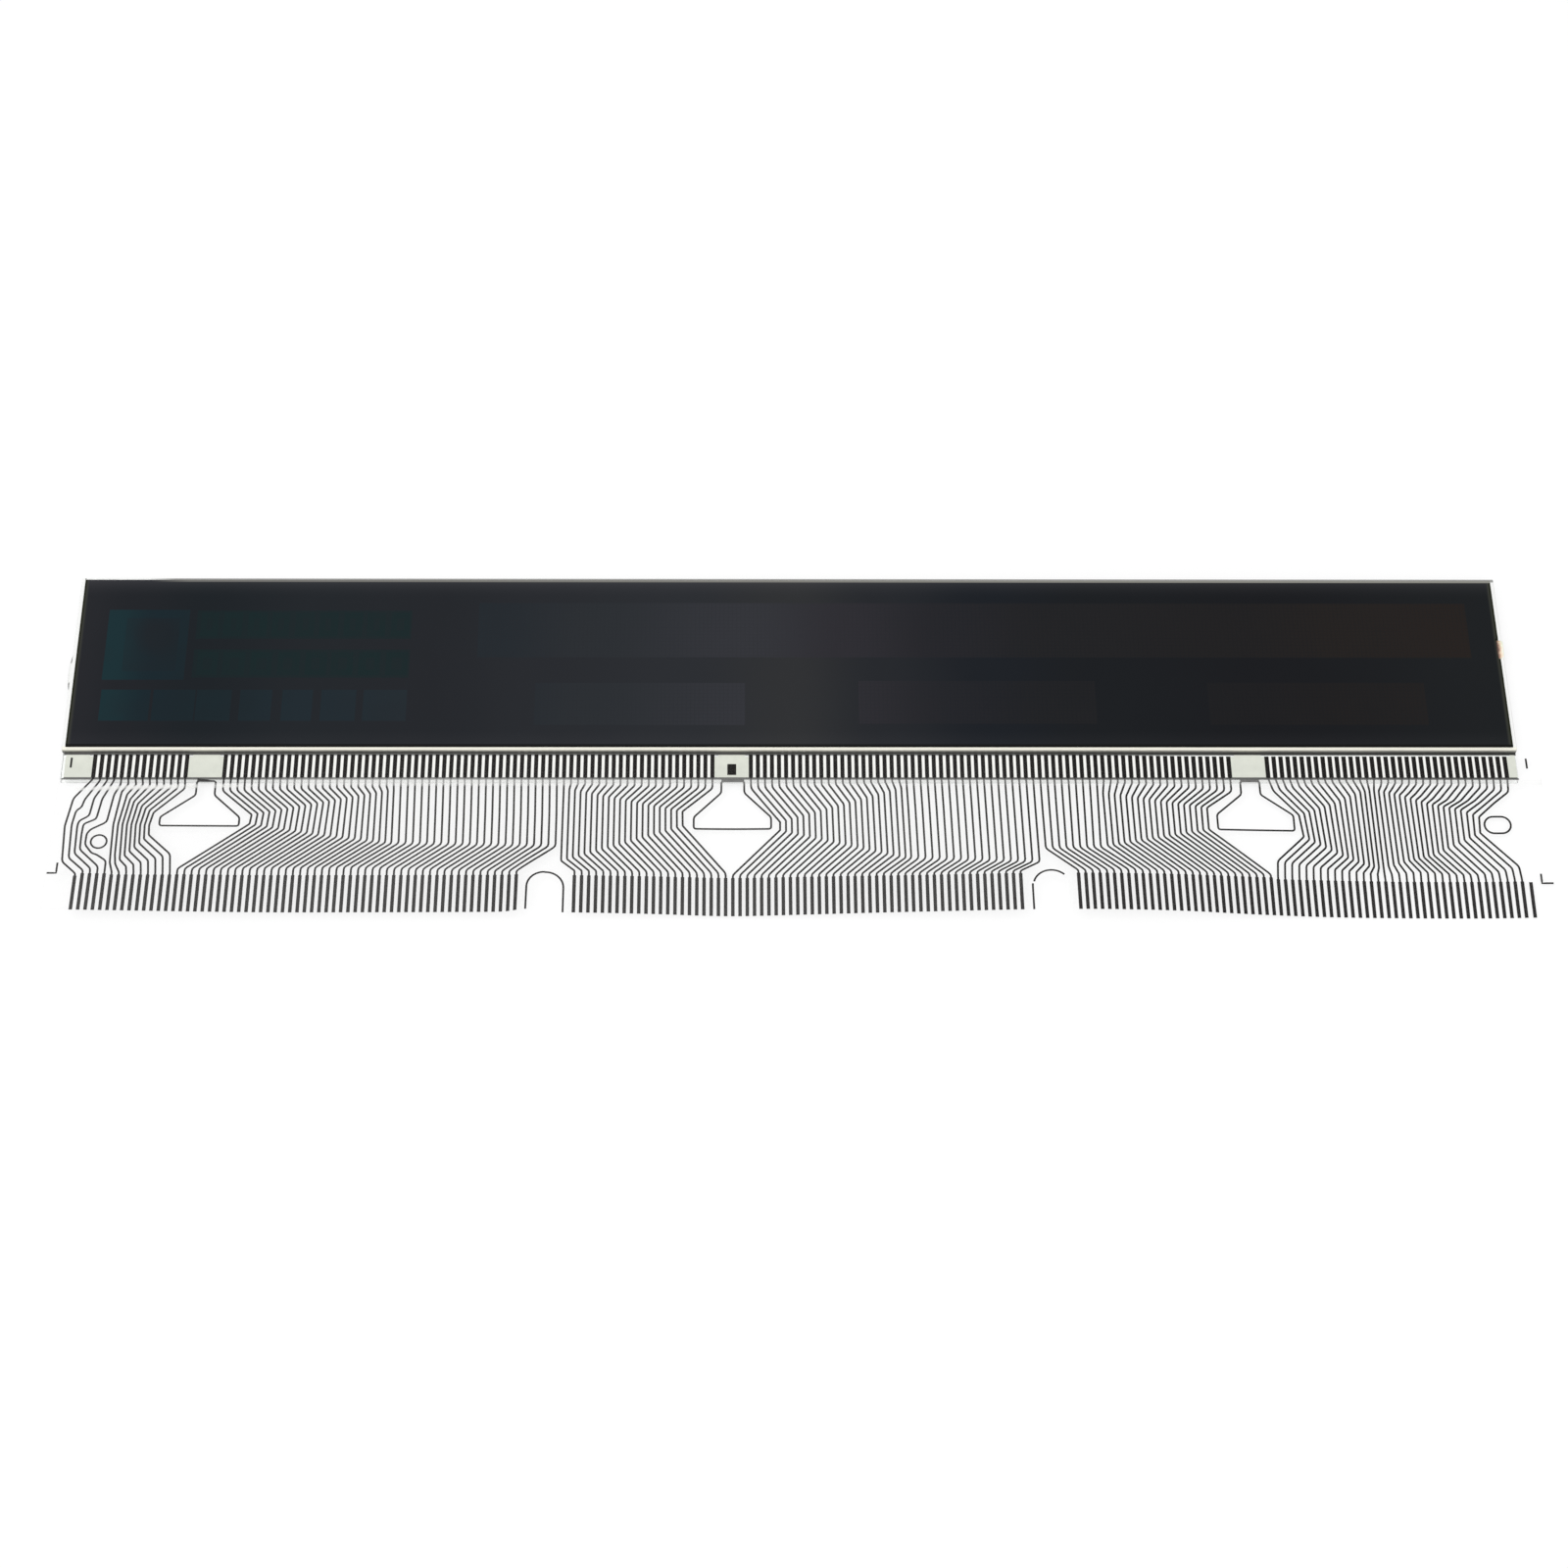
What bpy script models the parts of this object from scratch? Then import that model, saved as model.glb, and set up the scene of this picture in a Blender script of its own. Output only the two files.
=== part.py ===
"""A long glass liquid crystal display with a printed heat-seal tail.

Two glass plates hold the liquid crystal between them, inside a glue seal that is filled and
closed at its two ends. The rear plate is deeper than the front one. The ledge that this leaves
carries the contacts of a flexible polyester tail, whose printed conductors run past three
windows and two tooling holes to three rows of bars at the free edge.

Units are metres. X runs along the display, Y away from the tail and Z up through the stack. The
origin is the centre of the rear polariser's underside, on the table.
"""

import math
from collections import namedtuple

import bmesh
import bpy
from mathutils import Vector

# Stack, from the table up
POLARISER_THICKNESS = 0.0002
GLASS_THICKNESS = 0.0011
CELL_GAP = 0.00005
BOND_LINE = 0.00001  # clearance between two faces that are glued together
GLASS_SEAM = 0.00008  # fine chamfer ground on the edges of the glass

# Contacts on the ledge, which set the length of the glass
CONTACT_PITCH = 0.0010
CONTACT_COUNTS = (14, 70, 69, 35)
CONTACT_GROUP_GAP = 0.00545  # last contact of a group to the first of the next
CONTACT_WIDTH = 0.0005
CONTACT_INSET = 0.0002  # top edge of the tail to the contacts
GLASS_LEFT_MARGIN = 0.004725  # end of the glass to the first contact
GLASS_RIGHT_MARGIN = 0.001725  # last contact to the end of the glass

# Plan of the plates
POLARISER_DEPTH = 0.0288
POLARISER_END_MARGIN = 0.0006  # bare glass beside the polarisers
GLASS_FAR_MARGIN = 0.00045  # bare glass behind the polarisers
GLASS_NEAR_MARGIN = 0.00035  # bare glass in front of the polarisers
LEDGE_DEPTH = 0.0043
LEDGE_RIM = 0.00015  # edge of the ledge to the contacts, which the tail isn't bonded to

# Seal and what it holds
SEAL_INSET = 0.0016
SEAL_WIDTH = 0.0010
SEAL_SETBACK = 0.0002  # edge of the glass to the lips of the ports
SEAL_CLEARANCE = 0.00002
FILL_PORT_Y = 0.0024
VENT_PORT_Y = -0.0020
PORT_WIDTH = 0.0020
TRANSFER_DOT_DIAMETER = 0.0010
TRANSFER_DOT_INSET = 0.0008  # both edges of the front glass to the centre of a dot

# Glue that closes the two ports
PLUG_LENGTH = 0.0032
PLUG_BULGE = 0.00035
PLUG_LIP = 0.0008  # reach over the top of the front glass
PLUG_LIP_HEIGHT = 0.00015
NOTCH_CLEARANCE = 0.0002  # around the plug's lip in the front polariser
VENT_BEAD_LENGTH = 0.0055
VENT_BEAD_BULGE = 0.0003
BEAD_RIM = 0.0005  # bare edge of the rear glass under the beads
BEAD_STATIONS = 7

# Sheet of the tail
TAIL_END_MARGIN = 0.004825  # side edge of the film to the outer contacts
TAIL_INSET = 0.00035  # front glass to the film's top edge
TAIL_REACH = 0.0220  # edge of the ledge to the free edge
FILM_THICKNESS = 0.0001
INK_HEIGHT = 0.00003
INK_ROOT = 0.00001  # depth to which a printed line starts inside the film
BOND_STRIP_THICKNESS = 0.00003
BOND_STRIP_OVERHANG = 0.0008  # past the outer contacts of a group

# Height of the free edge over the table, at even steps from its left end to its right end
EDGE_HEIGHTS = (0.00290, 0.00260, 0.00224, 0.00200, 0.00200, 0.00204, 0.00210, 0.00194, 0.00150,
                0.00087, 0.00130, 0.00187, 0.00235, 0.00280, 0.00285, 0.00235, 0.00127, 0.00050,
                0.00020, 0.00014, 0.00047)

# Bars at the free edge
BAR_PITCH = CONTACT_PITCH  # the tail carries the pitch of the glass straight through
BAR_COUNTS = (62, 63, 64)
BAR_ROW_MARGIN = 0.000875  # reach of the bars past the contacts, at each end
BAR_ROW_OFFSET = 0.000185  # centre of the film to the centre of the three rows
BAR_LENGTH = 0.00605
BAR_WIDTH = 0.0005

# Printed lines between the contacts and the bars
TRACE_WIDTH = 0.00025
SHOULDER_LENGTH = 0.0002  # over which a bar narrows to its line
TRACE_TO_EDGE = 0.0020  # side edge of the film to the middle of the first line
TRACE_TO_HOLE = 0.00045  # clear film between a guard line and the line that passes it
TRACE_TO_SLOT = 0.00045
TRACE_TO_WINDOW = 0.0010
TRACE_TO_SHOULDER = 0.0007
TRACE_TO_TRACE = 0.0002  # least clear film between a line and the bar's line beside it
SHIFT_DEPTH = 0.0010  # below the ledge, where the outer lines of a fan turn aside
EDGE_SHIFT = 0.0003  # the same for the line next to the side edge
MIN_RUN = 0.0004  # straight run between two turns

# Windows in the film, one under each gap between the contact groups
WINDOW_TOP = 0.00055  # below the edge of the ledge
NECK_WIDTH = 0.0024
NECK_LENGTH = 0.0022
WINDOW_WIDTH = 0.0107
SHOULDER_DROP = 0.0035
FOOT_LENGTH = 0.0017
WINDOW_FILLET = 0.0004

# Tooling holes, from the near side edge of the film, and as shares of the tail's reach from the ledge
HOLE_DIAMETER = 0.0018
HOLE_FROM_SIDE = 0.0068
HOLE_PLACE = 0.4850
SLOT_LENGTH = 0.0033
SLOT_HEIGHT = 0.00225
SLOT_FROM_SIDE = 0.0070
SLOT_PLACE = 0.3341

# Notches in the free edge, one in each gap between the bars
NOTCH_WIDTH = 0.0047
NOTCH_DEPTH = 0.0063

# Dark guard lines printed around the cuts
GUARD_WIDTH = 0.00025
GUARD_OFFSET = 0.0002  # edge of the cut to the middle of the line

# Register marks
MARK_INSET = 0.0015  # side edge of the film to the upright marks
MARK_END = 0.0002
MARK_LENGTH = 0.0017
PAD_SIZE = 0.0013

# Fineness of round and wavy forms
ARC_STEP = math.radians(30)
HOLE_SEGMENTS = 16
TOP_COLUMNS = 42
TOP_ROWS = 3
DIE_OVERCUT = 0.002

# Sums that place everything
CONTACT_STEPS = sum(CONTACT_COUNTS) - len(CONTACT_COUNTS)
CONTACT_ROW = CONTACT_STEPS * CONTACT_PITCH + (len(CONTACT_COUNTS) - 1) * CONTACT_GROUP_GAP
BAR_STEPS = sum(BAR_COUNTS) - len(BAR_COUNTS)
BAR_ROW = CONTACT_ROW + 2 * BAR_ROW_MARGIN
BAR_GROUP_GAP = (BAR_ROW - BAR_STEPS * BAR_PITCH) / (len(BAR_COUNTS) - 1)
GLASS_WIDTH = GLASS_LEFT_MARGIN + CONTACT_ROW + GLASS_RIGHT_MARGIN
POLARISER_WIDTH = GLASS_WIDTH - 2 * POLARISER_END_MARGIN
GLASS_FAR_Y = POLARISER_DEPTH / 2 + GLASS_FAR_MARGIN
GLASS_NEAR_Y = -POLARISER_DEPTH / 2 - GLASS_NEAR_MARGIN
LEDGE_Y = GLASS_NEAR_Y - LEDGE_DEPTH
BOND_END_Y = LEDGE_Y + LEDGE_RIM
FIRST_CONTACT_X = -GLASS_WIDTH / 2 + GLASS_LEFT_MARGIN
TAIL_LEFT_X = FIRST_CONTACT_X - TAIL_END_MARGIN
TAIL_RIGHT_X = FIRST_CONTACT_X + CONTACT_ROW + TAIL_END_MARGIN
TAIL_TOP_Y = GLASS_NEAR_Y - TAIL_INSET
CONTACT_TOP_Y = TAIL_TOP_Y - CONTACT_INSET
FREE_EDGE_Y = LEDGE_Y - TAIL_REACH
BAR_TOP_Y = FREE_EDGE_Y + BAR_LENGTH

# Depths below the ledge. A line slopes at 45 degrees where it turns aside for a window or the slot,
# and starts to turn where its slope clears the window's shoulder or the slot's end.
HOLE_DEPTH = HOLE_PLACE * TAIL_REACH
SLOT_DEPTH = SLOT_PLACE * TAIL_REACH
SHOULDER_DEPTH = WINDOW_TOP + NECK_LENGTH + SHOULDER_DROP
PAST_WINDOW = SHOULDER_DEPTH + FOOT_LENGTH + GUARD_OFFSET
PAST_HOLE = HOLE_DEPTH + HOLE_DIAMETER / 2
PAST_SLOT = SLOT_DEPTH + SLOT_HEIGHT / 2
BAR_DEPTH = TAIL_REACH - BAR_LENGTH
GUARD_REACH = GUARD_OFFSET + (GUARD_WIDTH + TRACE_WIDTH) / 2  # cut to a line that touches its guard
WINDOW_SHIFT = (
    CONTACT_GROUP_GAP / 2
    + SHOULDER_DEPTH
    - WINDOW_WIDTH / 2
    - math.sqrt(2) * (GUARD_REACH + TRACE_TO_SHOULDER)
)
SLOT_SHIFT = (
    TAIL_END_MARGIN
    - SLOT_FROM_SIDE
    - (SLOT_LENGTH - SLOT_HEIGHT) / 2
    + SLOT_DEPTH
    - math.sqrt(2) * (SLOT_HEIGHT / 2 + GUARD_REACH + TRACE_TO_SLOT)
)

REAR_GLASS_Z = POLARISER_THICKNESS + BOND_LINE
LEDGE_Z = REAR_GLASS_Z + GLASS_THICKNESS
FRONT_GLASS_Z = LEDGE_Z + CELL_GAP
FRONT_FACE_Z = FRONT_GLASS_Z + GLASS_THICKNESS
FRONT_POLARISER_Z = FRONT_FACE_Z + BOND_LINE
BOND_STRIP_Z = LEDGE_Z + BOND_LINE
FILM_Z = BOND_STRIP_Z + BOND_STRIP_THICKNESS + BOND_LINE + INK_HEIGHT


def clear_scene():
    """Remove what a new file holds."""
    for item in list(bpy.data.objects):
        bpy.data.objects.remove(item, do_unlink=True)


def new_collection(name, hidden=False):
    """Collection under the scene's own."""
    collection = bpy.data.collections.new(name)
    collection.hide_render = hidden
    bpy.context.scene.collection.children.link(collection)
    return collection


def material(name, colour, roughness, metallic=0.0, alpha=1.0):
    """Principled material of one sub-part."""
    result = bpy.data.materials.new(name)
    result.use_nodes = True
    shader = result.node_tree.nodes["Principled BSDF"]
    shader.inputs["Base Color"].default_value = (*colour, 1.0)
    shader.inputs["Roughness"].default_value = roughness
    shader.inputs["Metallic"].default_value = metallic
    shader.inputs["Alpha"].default_value = alpha
    result.diffuse_color = (*colour, alpha)
    return result


def place(name, mesh, collection, look=None):
    """Object with a mesh, in its collection, with its material."""
    item = bpy.data.objects.new(name, mesh)
    collection.objects.link(item)
    if look is not None:
        mesh.materials.append(look)
    return item


def box(name, low, high, collection, look=None):
    """Box between two corners, from the cube primitive."""
    form = bmesh.new()
    bmesh.ops.create_cube(form, size=1.0)
    near, far = Vector(low), Vector(high)
    bmesh.ops.scale(form, vec=far - near, verts=form.verts)
    bmesh.ops.translate(form, vec=(near + far) / 2, verts=form.verts)
    mesh = bpy.data.meshes.new(name)
    form.to_mesh(mesh)
    form.free()
    return place(name, mesh, collection, look)


def plate(name, outlines, low_z, high_z, collection, look=None):
    """Flat sheet between two heights, from a filled 2D curve; later outlines are holes."""
    curve = bpy.data.curves.new(name + "_outline", "CURVE")
    curve.dimensions = "2D"
    curve.fill_mode = "BOTH"
    curve.extrude = (high_z - low_z) / 2
    for outline in outlines:
        spline = curve.splines.new("POLY")
        spline.points.add(len(outline) - 1)
        for point, (x, y) in zip(spline.points, outline):
            point.co = (x, y, 0.0, 1.0)
        spline.use_cyclic_u = True
    drawing = bpy.data.objects.new(name + "_outline", curve)
    drawing.location.z = (low_z + high_z) / 2
    collection.objects.link(drawing)
    bpy.context.view_layer.update()
    depsgraph = bpy.context.evaluated_depsgraph_get()
    mesh = bpy.data.meshes.new_from_object(drawing.evaluated_get(depsgraph))
    mesh.name = name
    form = bmesh.new()
    form.from_mesh(mesh)
    bmesh.ops.remove_doubles(form, verts=form.verts, dist=1e-7)
    bmesh.ops.recalc_face_normals(form, faces=form.faces)
    form.to_mesh(mesh)
    form.free()
    item = place(name, mesh, collection, look)
    item.matrix_world = drawing.matrix_world
    bpy.data.objects.remove(drawing, do_unlink=True)
    return item


def arc(centre, radius, start, end):
    """Points on an arc about a centre, at about the common arc step."""
    steps = max(1, round(abs(end - start) / ARC_STEP))
    turns = [start + (end - start) * step / steps for step in range(steps + 1)]
    return [(centre[0] + radius * math.cos(turn), centre[1] + radius * math.sin(turn)) for turn in turns]


def offset(outline, distance):
    """Anticlockwise outline moved outward by a distance, with mitred corners."""
    result = []
    count = len(outline)
    for index in range(count):
        point = Vector(outline[index])
        before = (point - Vector(outline[index - 1])).normalized()
        after = (Vector(outline[(index + 1) % count]) - point).normalized()
        normal_before = Vector((before.y, -before.x))
        normal_after = Vector((after.y, -after.x))
        mitre = (normal_before + normal_after) / (1 + normal_before.dot(normal_after))
        result.append(tuple(point + mitre * distance))
    return result


def filleted(outline, radius):
    """Outline with each corner cut back by a radius and rounded by three points."""
    result = []
    count = len(outline)
    for index in range(count):
        corner = Vector(outline[index])
        before = (Vector(outline[index - 1]) - corner).normalized() * radius
        after = (Vector(outline[(index + 1) % count]) - corner).normalized() * radius
        result.append(tuple(corner + before))
        result.append(tuple(corner + (before + after) / 4))
        result.append(tuple(corner + after))
    return result


def loft(form, sections, closed=False):
    """Skin over a row of sections with equally many points, in a bmesh that it is added to."""
    rings = [[form.verts.new(point) for point in section] for section in sections]
    size = len(rings[0])
    pairs = list(zip(rings, rings[1:]))
    if closed:
        pairs.append((rings[-1], rings[0]))
    for ring, following in pairs:
        for index in range(size):
            other = (index + 1) % size
            form.faces.new((ring[index], ring[other], following[other], following[index]))
    if not closed:
        form.faces.new(rings[0])
        form.faces.new(list(reversed(rings[-1])))


def add_line(form, points, widths, closed=False):
    """Printed line along points: a low ridge under the film, rooted inside it."""
    root_z = FILM_Z + INK_ROOT
    crest_z = FILM_Z - INK_HEIGHT
    spread = (INK_HEIGHT + INK_ROOT) / INK_HEIGHT
    sections = []
    count = len(points)
    for index in range(count):
        point = Vector(points[index])
        before = Vector(points[index - 1]) if index or closed else point
        after = Vector(points[(index + 1) % count]) if index < count - 1 or closed else point
        into = (point - before).normalized()
        out = (after - point).normalized()
        if into.length == 0:
            into = out
        if out.length == 0:
            out = into
        side = Vector((into.y + out.y, -into.x - out.x)) / (1 + into.dot(out))
        half = side * widths[index] * spread / 2
        left = point - half
        right = point + half
        crest = (point.x, point.y, crest_z)
        sections.append(((left.x, left.y, root_z), (right.x, right.y, root_z), crest))
    loft(form, sections, closed)


def row_positions(first, counts, pitch, gap):
    """Positions along a row of groups with a wider gap between them."""
    positions = []
    place_x = first
    for count in counts:
        positions.extend(place_x + pitch * index for index in range(count))
        place_x = positions[-1] + gap
    return positions


def contact_positions():
    """X of each contact on the ledge."""
    return row_positions(FIRST_CONTACT_X, CONTACT_COUNTS, CONTACT_PITCH, CONTACT_GROUP_GAP)


def bar_positions():
    """X of each bar at the free edge, the last one unconnected."""
    centre = (TAIL_LEFT_X + TAIL_RIGHT_X) / 2 + BAR_ROW_OFFSET
    return row_positions(centre - BAR_ROW / 2, BAR_COUNTS, BAR_PITCH, BAR_GROUP_GAP)


def gap_centres(positions, counts):
    """Middle of each gap between the groups of a row."""
    centres = []
    last = -1
    for count in counts[:-1]:
        last += count
        centres.append((positions[last] + positions[last + 1]) / 2)
    return centres


def window_outline(centre_x):
    """Cut under a gap between contact groups: a neck, two sloped shoulders and a straight foot."""
    top = LEDGE_Y - WINDOW_TOP
    neck = top - NECK_LENGTH
    shoulder = LEDGE_Y - SHOULDER_DEPTH
    foot = shoulder - FOOT_LENGTH
    half_neck = NECK_WIDTH / 2
    half_window = WINDOW_WIDTH / 2
    left = [(-half_neck, top), (-half_neck, neck), (-half_window, shoulder), (-half_window, foot)]
    right = [(-x, y) for x, y in reversed(left)]
    return [(centre_x + x, y) for x, y in left + right]


def hole_centre():
    """Middle of the round tooling hole."""
    return (TAIL_LEFT_X + HOLE_FROM_SIDE, LEDGE_Y - HOLE_DEPTH)


def slot_centre():
    """Middle of the obround tooling slot."""
    return (TAIL_RIGHT_X - SLOT_FROM_SIDE, LEDGE_Y - SLOT_DEPTH)


def hole_outline(grow=0.0):
    """Round tooling hole, or the line around it."""
    centre_x, centre_y = hole_centre()
    radius = HOLE_DIAMETER / 2 + grow
    turns = [math.tau * step / HOLE_SEGMENTS for step in range(HOLE_SEGMENTS)]
    return [(centre_x + radius * math.cos(turn), centre_y + radius * math.sin(turn)) for turn in turns]


def slot_outline(grow=0.0):
    """Obround tooling slot, or the line around it."""
    centre_x, centre_y = slot_centre()
    reach = (SLOT_LENGTH - SLOT_HEIGHT) / 2
    radius = SLOT_HEIGHT / 2 + grow
    right = arc((centre_x + reach, centre_y), radius, -math.pi / 2, math.pi / 2)
    left = arc((centre_x - reach, centre_y), radius, math.pi / 2, math.pi * 3 / 2)
    return right + left


def notch_outline(centre_x, grow=0.0):
    """Round-ended notch in the free edge, or the line around it, left leg to right leg."""
    radius = NOTCH_WIDTH / 2 + grow
    arc_y = FREE_EDGE_Y + NOTCH_DEPTH - NOTCH_WIDTH / 2
    crown = arc((centre_x, arc_y), radius, math.pi, 0.0)
    start_y = FREE_EDGE_Y - DIE_OVERCUT / 2
    return [(centre_x - radius, start_y)] + crown + [(centre_x + radius, start_y)]


def guide_lines(windows, bars):
    """Upright lines that the outer conductors of the fans keep to, by name. The line right of the
    hole also clears the last conductor that comes round its left side to its bar."""
    hole_x = hole_centre()[0]
    last_round = bars[FANS[0][0] - 1]
    hole_reach = HOLE_DIAMETER / 2 + GUARD_REACH + TRACE_TO_HOLE
    slot_reach = SLOT_LENGTH / 2 + GUARD_REACH + TRACE_TO_SLOT
    window_reach = WINDOW_WIDTH / 2 + GUARD_REACH + TRACE_TO_WINDOW
    lines = {
        "edge": TAIL_LEFT_X + TRACE_TO_EDGE,
        "hole_left": hole_x - hole_reach,
        "hole_right": max(hole_x + hole_reach, last_round + TRACE_WIDTH + TRACE_TO_TRACE),
        "slot_left": slot_centre()[0] - slot_reach,
    }
    for number, centre in enumerate(windows, 1):
        lines[f"window_{number}_left"] = centre - window_reach
        lines[f"window_{number}_right"] = centre + window_reach
    return lines


def room_share(depth):
    """Depth below the ledge as a share of the way from past the windows to the tops of the bars."""
    return (depth - PAST_WINDOW) / (BAR_DEPTH - PAST_WINDOW)


# Course of the first or last conductor of a fan: the guide line that it keeps to (None is straight
# down), the depth below the ledge where it shifts to that line, and where it leaves the line and
# meets its bar, as shares of the way from past the windows to the tops of the bars.
Course = namedtuple("Course", "line shift leave meet")

# Fans of conductors from left to right, each with how many it has and its first and last course
FANS = (
    (
        5,
        Course("edge", EDGE_SHIFT, 0.755, 0.980),
        Course("hole_left", SHIFT_DEPTH, room_share(PAST_HOLE), 0.821),
    ),
    (
        9,
        Course("hole_right", SHIFT_DEPTH, 0.821, 0.940),
        Course("window_1_left", WINDOW_SHIFT, 0.159, 0.596),
    ),
    (
        25,
        Course("window_1_right", WINDOW_SHIFT, 0.0, 0.901),
        Course(None, SHIFT_DEPTH, 0.318, 0.874),
    ),
    (
        23,
        Course(None, SHIFT_DEPTH, 0.318, 0.874),
        Course(None, SHIFT_DEPTH, 0.384, 0.927),
    ),
    (
        22,
        Course(None, SHIFT_DEPTH, 0.689, 0.914),
        Course("window_2_left", WINDOW_SHIFT, 0.0, 0.914),
    ),
    (
        22,
        Course("window_2_right", WINDOW_SHIFT, 0.0, 0.940),
        Course(None, SHIFT_DEPTH, 0.623, 0.954),
    ),
    (
        19,
        Course(None, SHIFT_DEPTH, 0.636, 0.967),
        Course(None, SHIFT_DEPTH, 0.755, 0.954),
    ),
    (
        9,
        Course(None, SHIFT_DEPTH, 0.464, 0.940),
        Course(None, SHIFT_DEPTH, 0.424, 0.927),
    ),
    (
        19,
        Course(None, SHIFT_DEPTH, 0.397, 0.927),
        Course("window_3_left", WINDOW_SHIFT, 0.0, 0.940),
    ),
    (
        16,
        Course("window_3_right", WINDOW_SHIFT, 0.132, 0.649),
        Course(None, SHIFT_DEPTH, 0.874, 0.980),
    ),
    (
        19,
        Course(None, SHIFT_DEPTH, 0.874, 0.980),
        Course("slot_left", SLOT_SHIFT, room_share(PAST_SLOT), 0.728),
    ),
)


def blend(first, last, share):
    """Value a share of the way from the first to the last."""
    return first + (last - first) * share


def conductor(contact_x, middle_x, bar_x, shift, leave, meet):
    """Points and widths of one conductor, from its contact on the ledge to past the free edge."""
    shift_end = shift + abs(middle_x - contact_x)
    leave = max(leave, shift_end + MIN_RUN)
    points = [(contact_x, CONTACT_TOP_Y), (contact_x, BOND_END_Y)]
    widths = [CONTACT_WIDTH, CONTACT_WIDTH]
    if middle_x == contact_x:
        points.append((contact_x, BOND_END_Y - SHOULDER_LENGTH))
        widths.append(TRACE_WIDTH)
    else:
        points.append((contact_x, LEDGE_Y - shift))
        points.append((middle_x, LEDGE_Y - shift_end))
        widths.extend((TRACE_WIDTH, TRACE_WIDTH))
    points.append((middle_x, LEDGE_Y - leave))
    points.append((bar_x, LEDGE_Y - meet))
    points.append((bar_x, min(BAR_TOP_Y, LEDGE_Y - meet - SHOULDER_LENGTH)))
    points.append((bar_x, FREE_EDGE_Y - DIE_OVERCUT / 2))
    widths.extend((TRACE_WIDTH, TRACE_WIDTH, BAR_WIDTH, BAR_WIDTH))
    return points, widths


def add_conductors(form):
    """All the conductors of the tail, fan by fan, and the spare bar at the right end."""
    contacts = contact_positions()
    bars = bar_positions()
    lines = guide_lines(gap_centres(contacts, CONTACT_COUNTS), bars)
    index = 0
    for count, first, last in FANS:
        first_x = lines.get(first.line, contacts[index])
        last_x = lines.get(last.line, contacts[index + count - 1])
        straight = first.line is None and last.line is None
        for member in range(count):
            share = member / (count - 1)
            contact_x = contacts[index]
            middle_x = contact_x if straight else blend(first_x, last_x, share)
            shift, leave, meet = (blend(near, far, share) for near, far in zip(first[1:], last[1:]))
            leave_depth = blend(PAST_WINDOW, BAR_DEPTH, leave)
            meet_depth = blend(PAST_WINDOW, BAR_DEPTH, meet)
            points, widths = conductor(contact_x, middle_x, bars[index], shift, leave_depth, meet_depth)
            add_line(form, points, widths)
            index += 1
    spare = [(bars[-1], BAR_TOP_Y), (bars[-1], FREE_EDGE_Y - DIE_OVERCUT / 2)]
    add_line(form, spare, [BAR_WIDTH, BAR_WIDTH])


def add_marks(form, windows):
    """Corner marks beside the outer bars, dashes beside the outer contacts, and a centre pad."""
    low_y = BAR_TOP_Y
    for side_x, inward in ((TAIL_LEFT_X, 1), (TAIL_RIGHT_X, -1)):
        corner_x = side_x + inward * MARK_INSET
        corner = [(corner_x, low_y + MARK_LENGTH), (corner_x, low_y), (side_x + inward * MARK_END, low_y)]
        dash = [(corner_x, CONTACT_TOP_Y - MARK_END), (corner_x, CONTACT_TOP_Y - MARK_END - MARK_LENGTH)]
        add_line(form, corner, [TRACE_WIDTH] * 3)
        add_line(form, dash, [TRACE_WIDTH] * 2)
    pad_y = (CONTACT_TOP_Y + BOND_END_Y) / 2
    pad = [(windows[1], pad_y + PAD_SIZE / 2), (windows[1], pad_y - PAD_SIZE / 2)]
    add_line(form, pad, [PAD_SIZE, PAD_SIZE])


def add_guards(form, windows, notches):
    """Dark lines around the windows, the tooling holes and the notches."""
    for centre in windows:
        outline = offset(window_outline(centre), GUARD_OFFSET)
        add_line(form, outline, [GUARD_WIDTH] * len(outline), closed=True)
    for outline in (hole_outline(GUARD_OFFSET), slot_outline(GUARD_OFFSET)):
        add_line(form, outline, [GUARD_WIDTH] * len(outline), closed=True)
    for centre in notches:
        outline = notch_outline(centre, GUARD_OFFSET)
        add_line(form, outline, [GUARD_WIDTH] * len(outline))


def edge_height(x):
    """Height of the free edge over the table at a place along it, smooth through its heights."""
    steps = len(EDGE_HEIGHTS) - 1
    along = (x - TAIL_LEFT_X) / (TAIL_RIGHT_X - TAIL_LEFT_X) * steps
    along = min(max(along, 0.0), float(steps))
    index = min(int(along), steps - 1)
    share = along - index
    near = [min(max(index + step, 0), steps) for step in (-1, 0, 1, 2)]
    before, low, high, after = (EDGE_HEIGHTS[knot] for knot in near)
    rise_low = (high - before) / 2
    rise_high = (after - low) / 2
    square = share * share
    cube = square * share
    return (
        low * (2 * cube - 3 * square + 1)
        + rise_low * (cube - 2 * square + share)
        + high * (3 * square - 2 * cube)
        + rise_high * (cube - square)
    )


def drape(form):
    """Let the tail leave the ledge in straight lines to its wavy free edge."""
    for vertex in form.verts:
        share = (BOND_END_Y - vertex.co.y) / (BOND_END_Y - FREE_EDGE_Y)
        if share > 0:
            vertex.co.z += share * (edge_height(vertex.co.x) - FILM_Z)
    form.normal_update()


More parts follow.
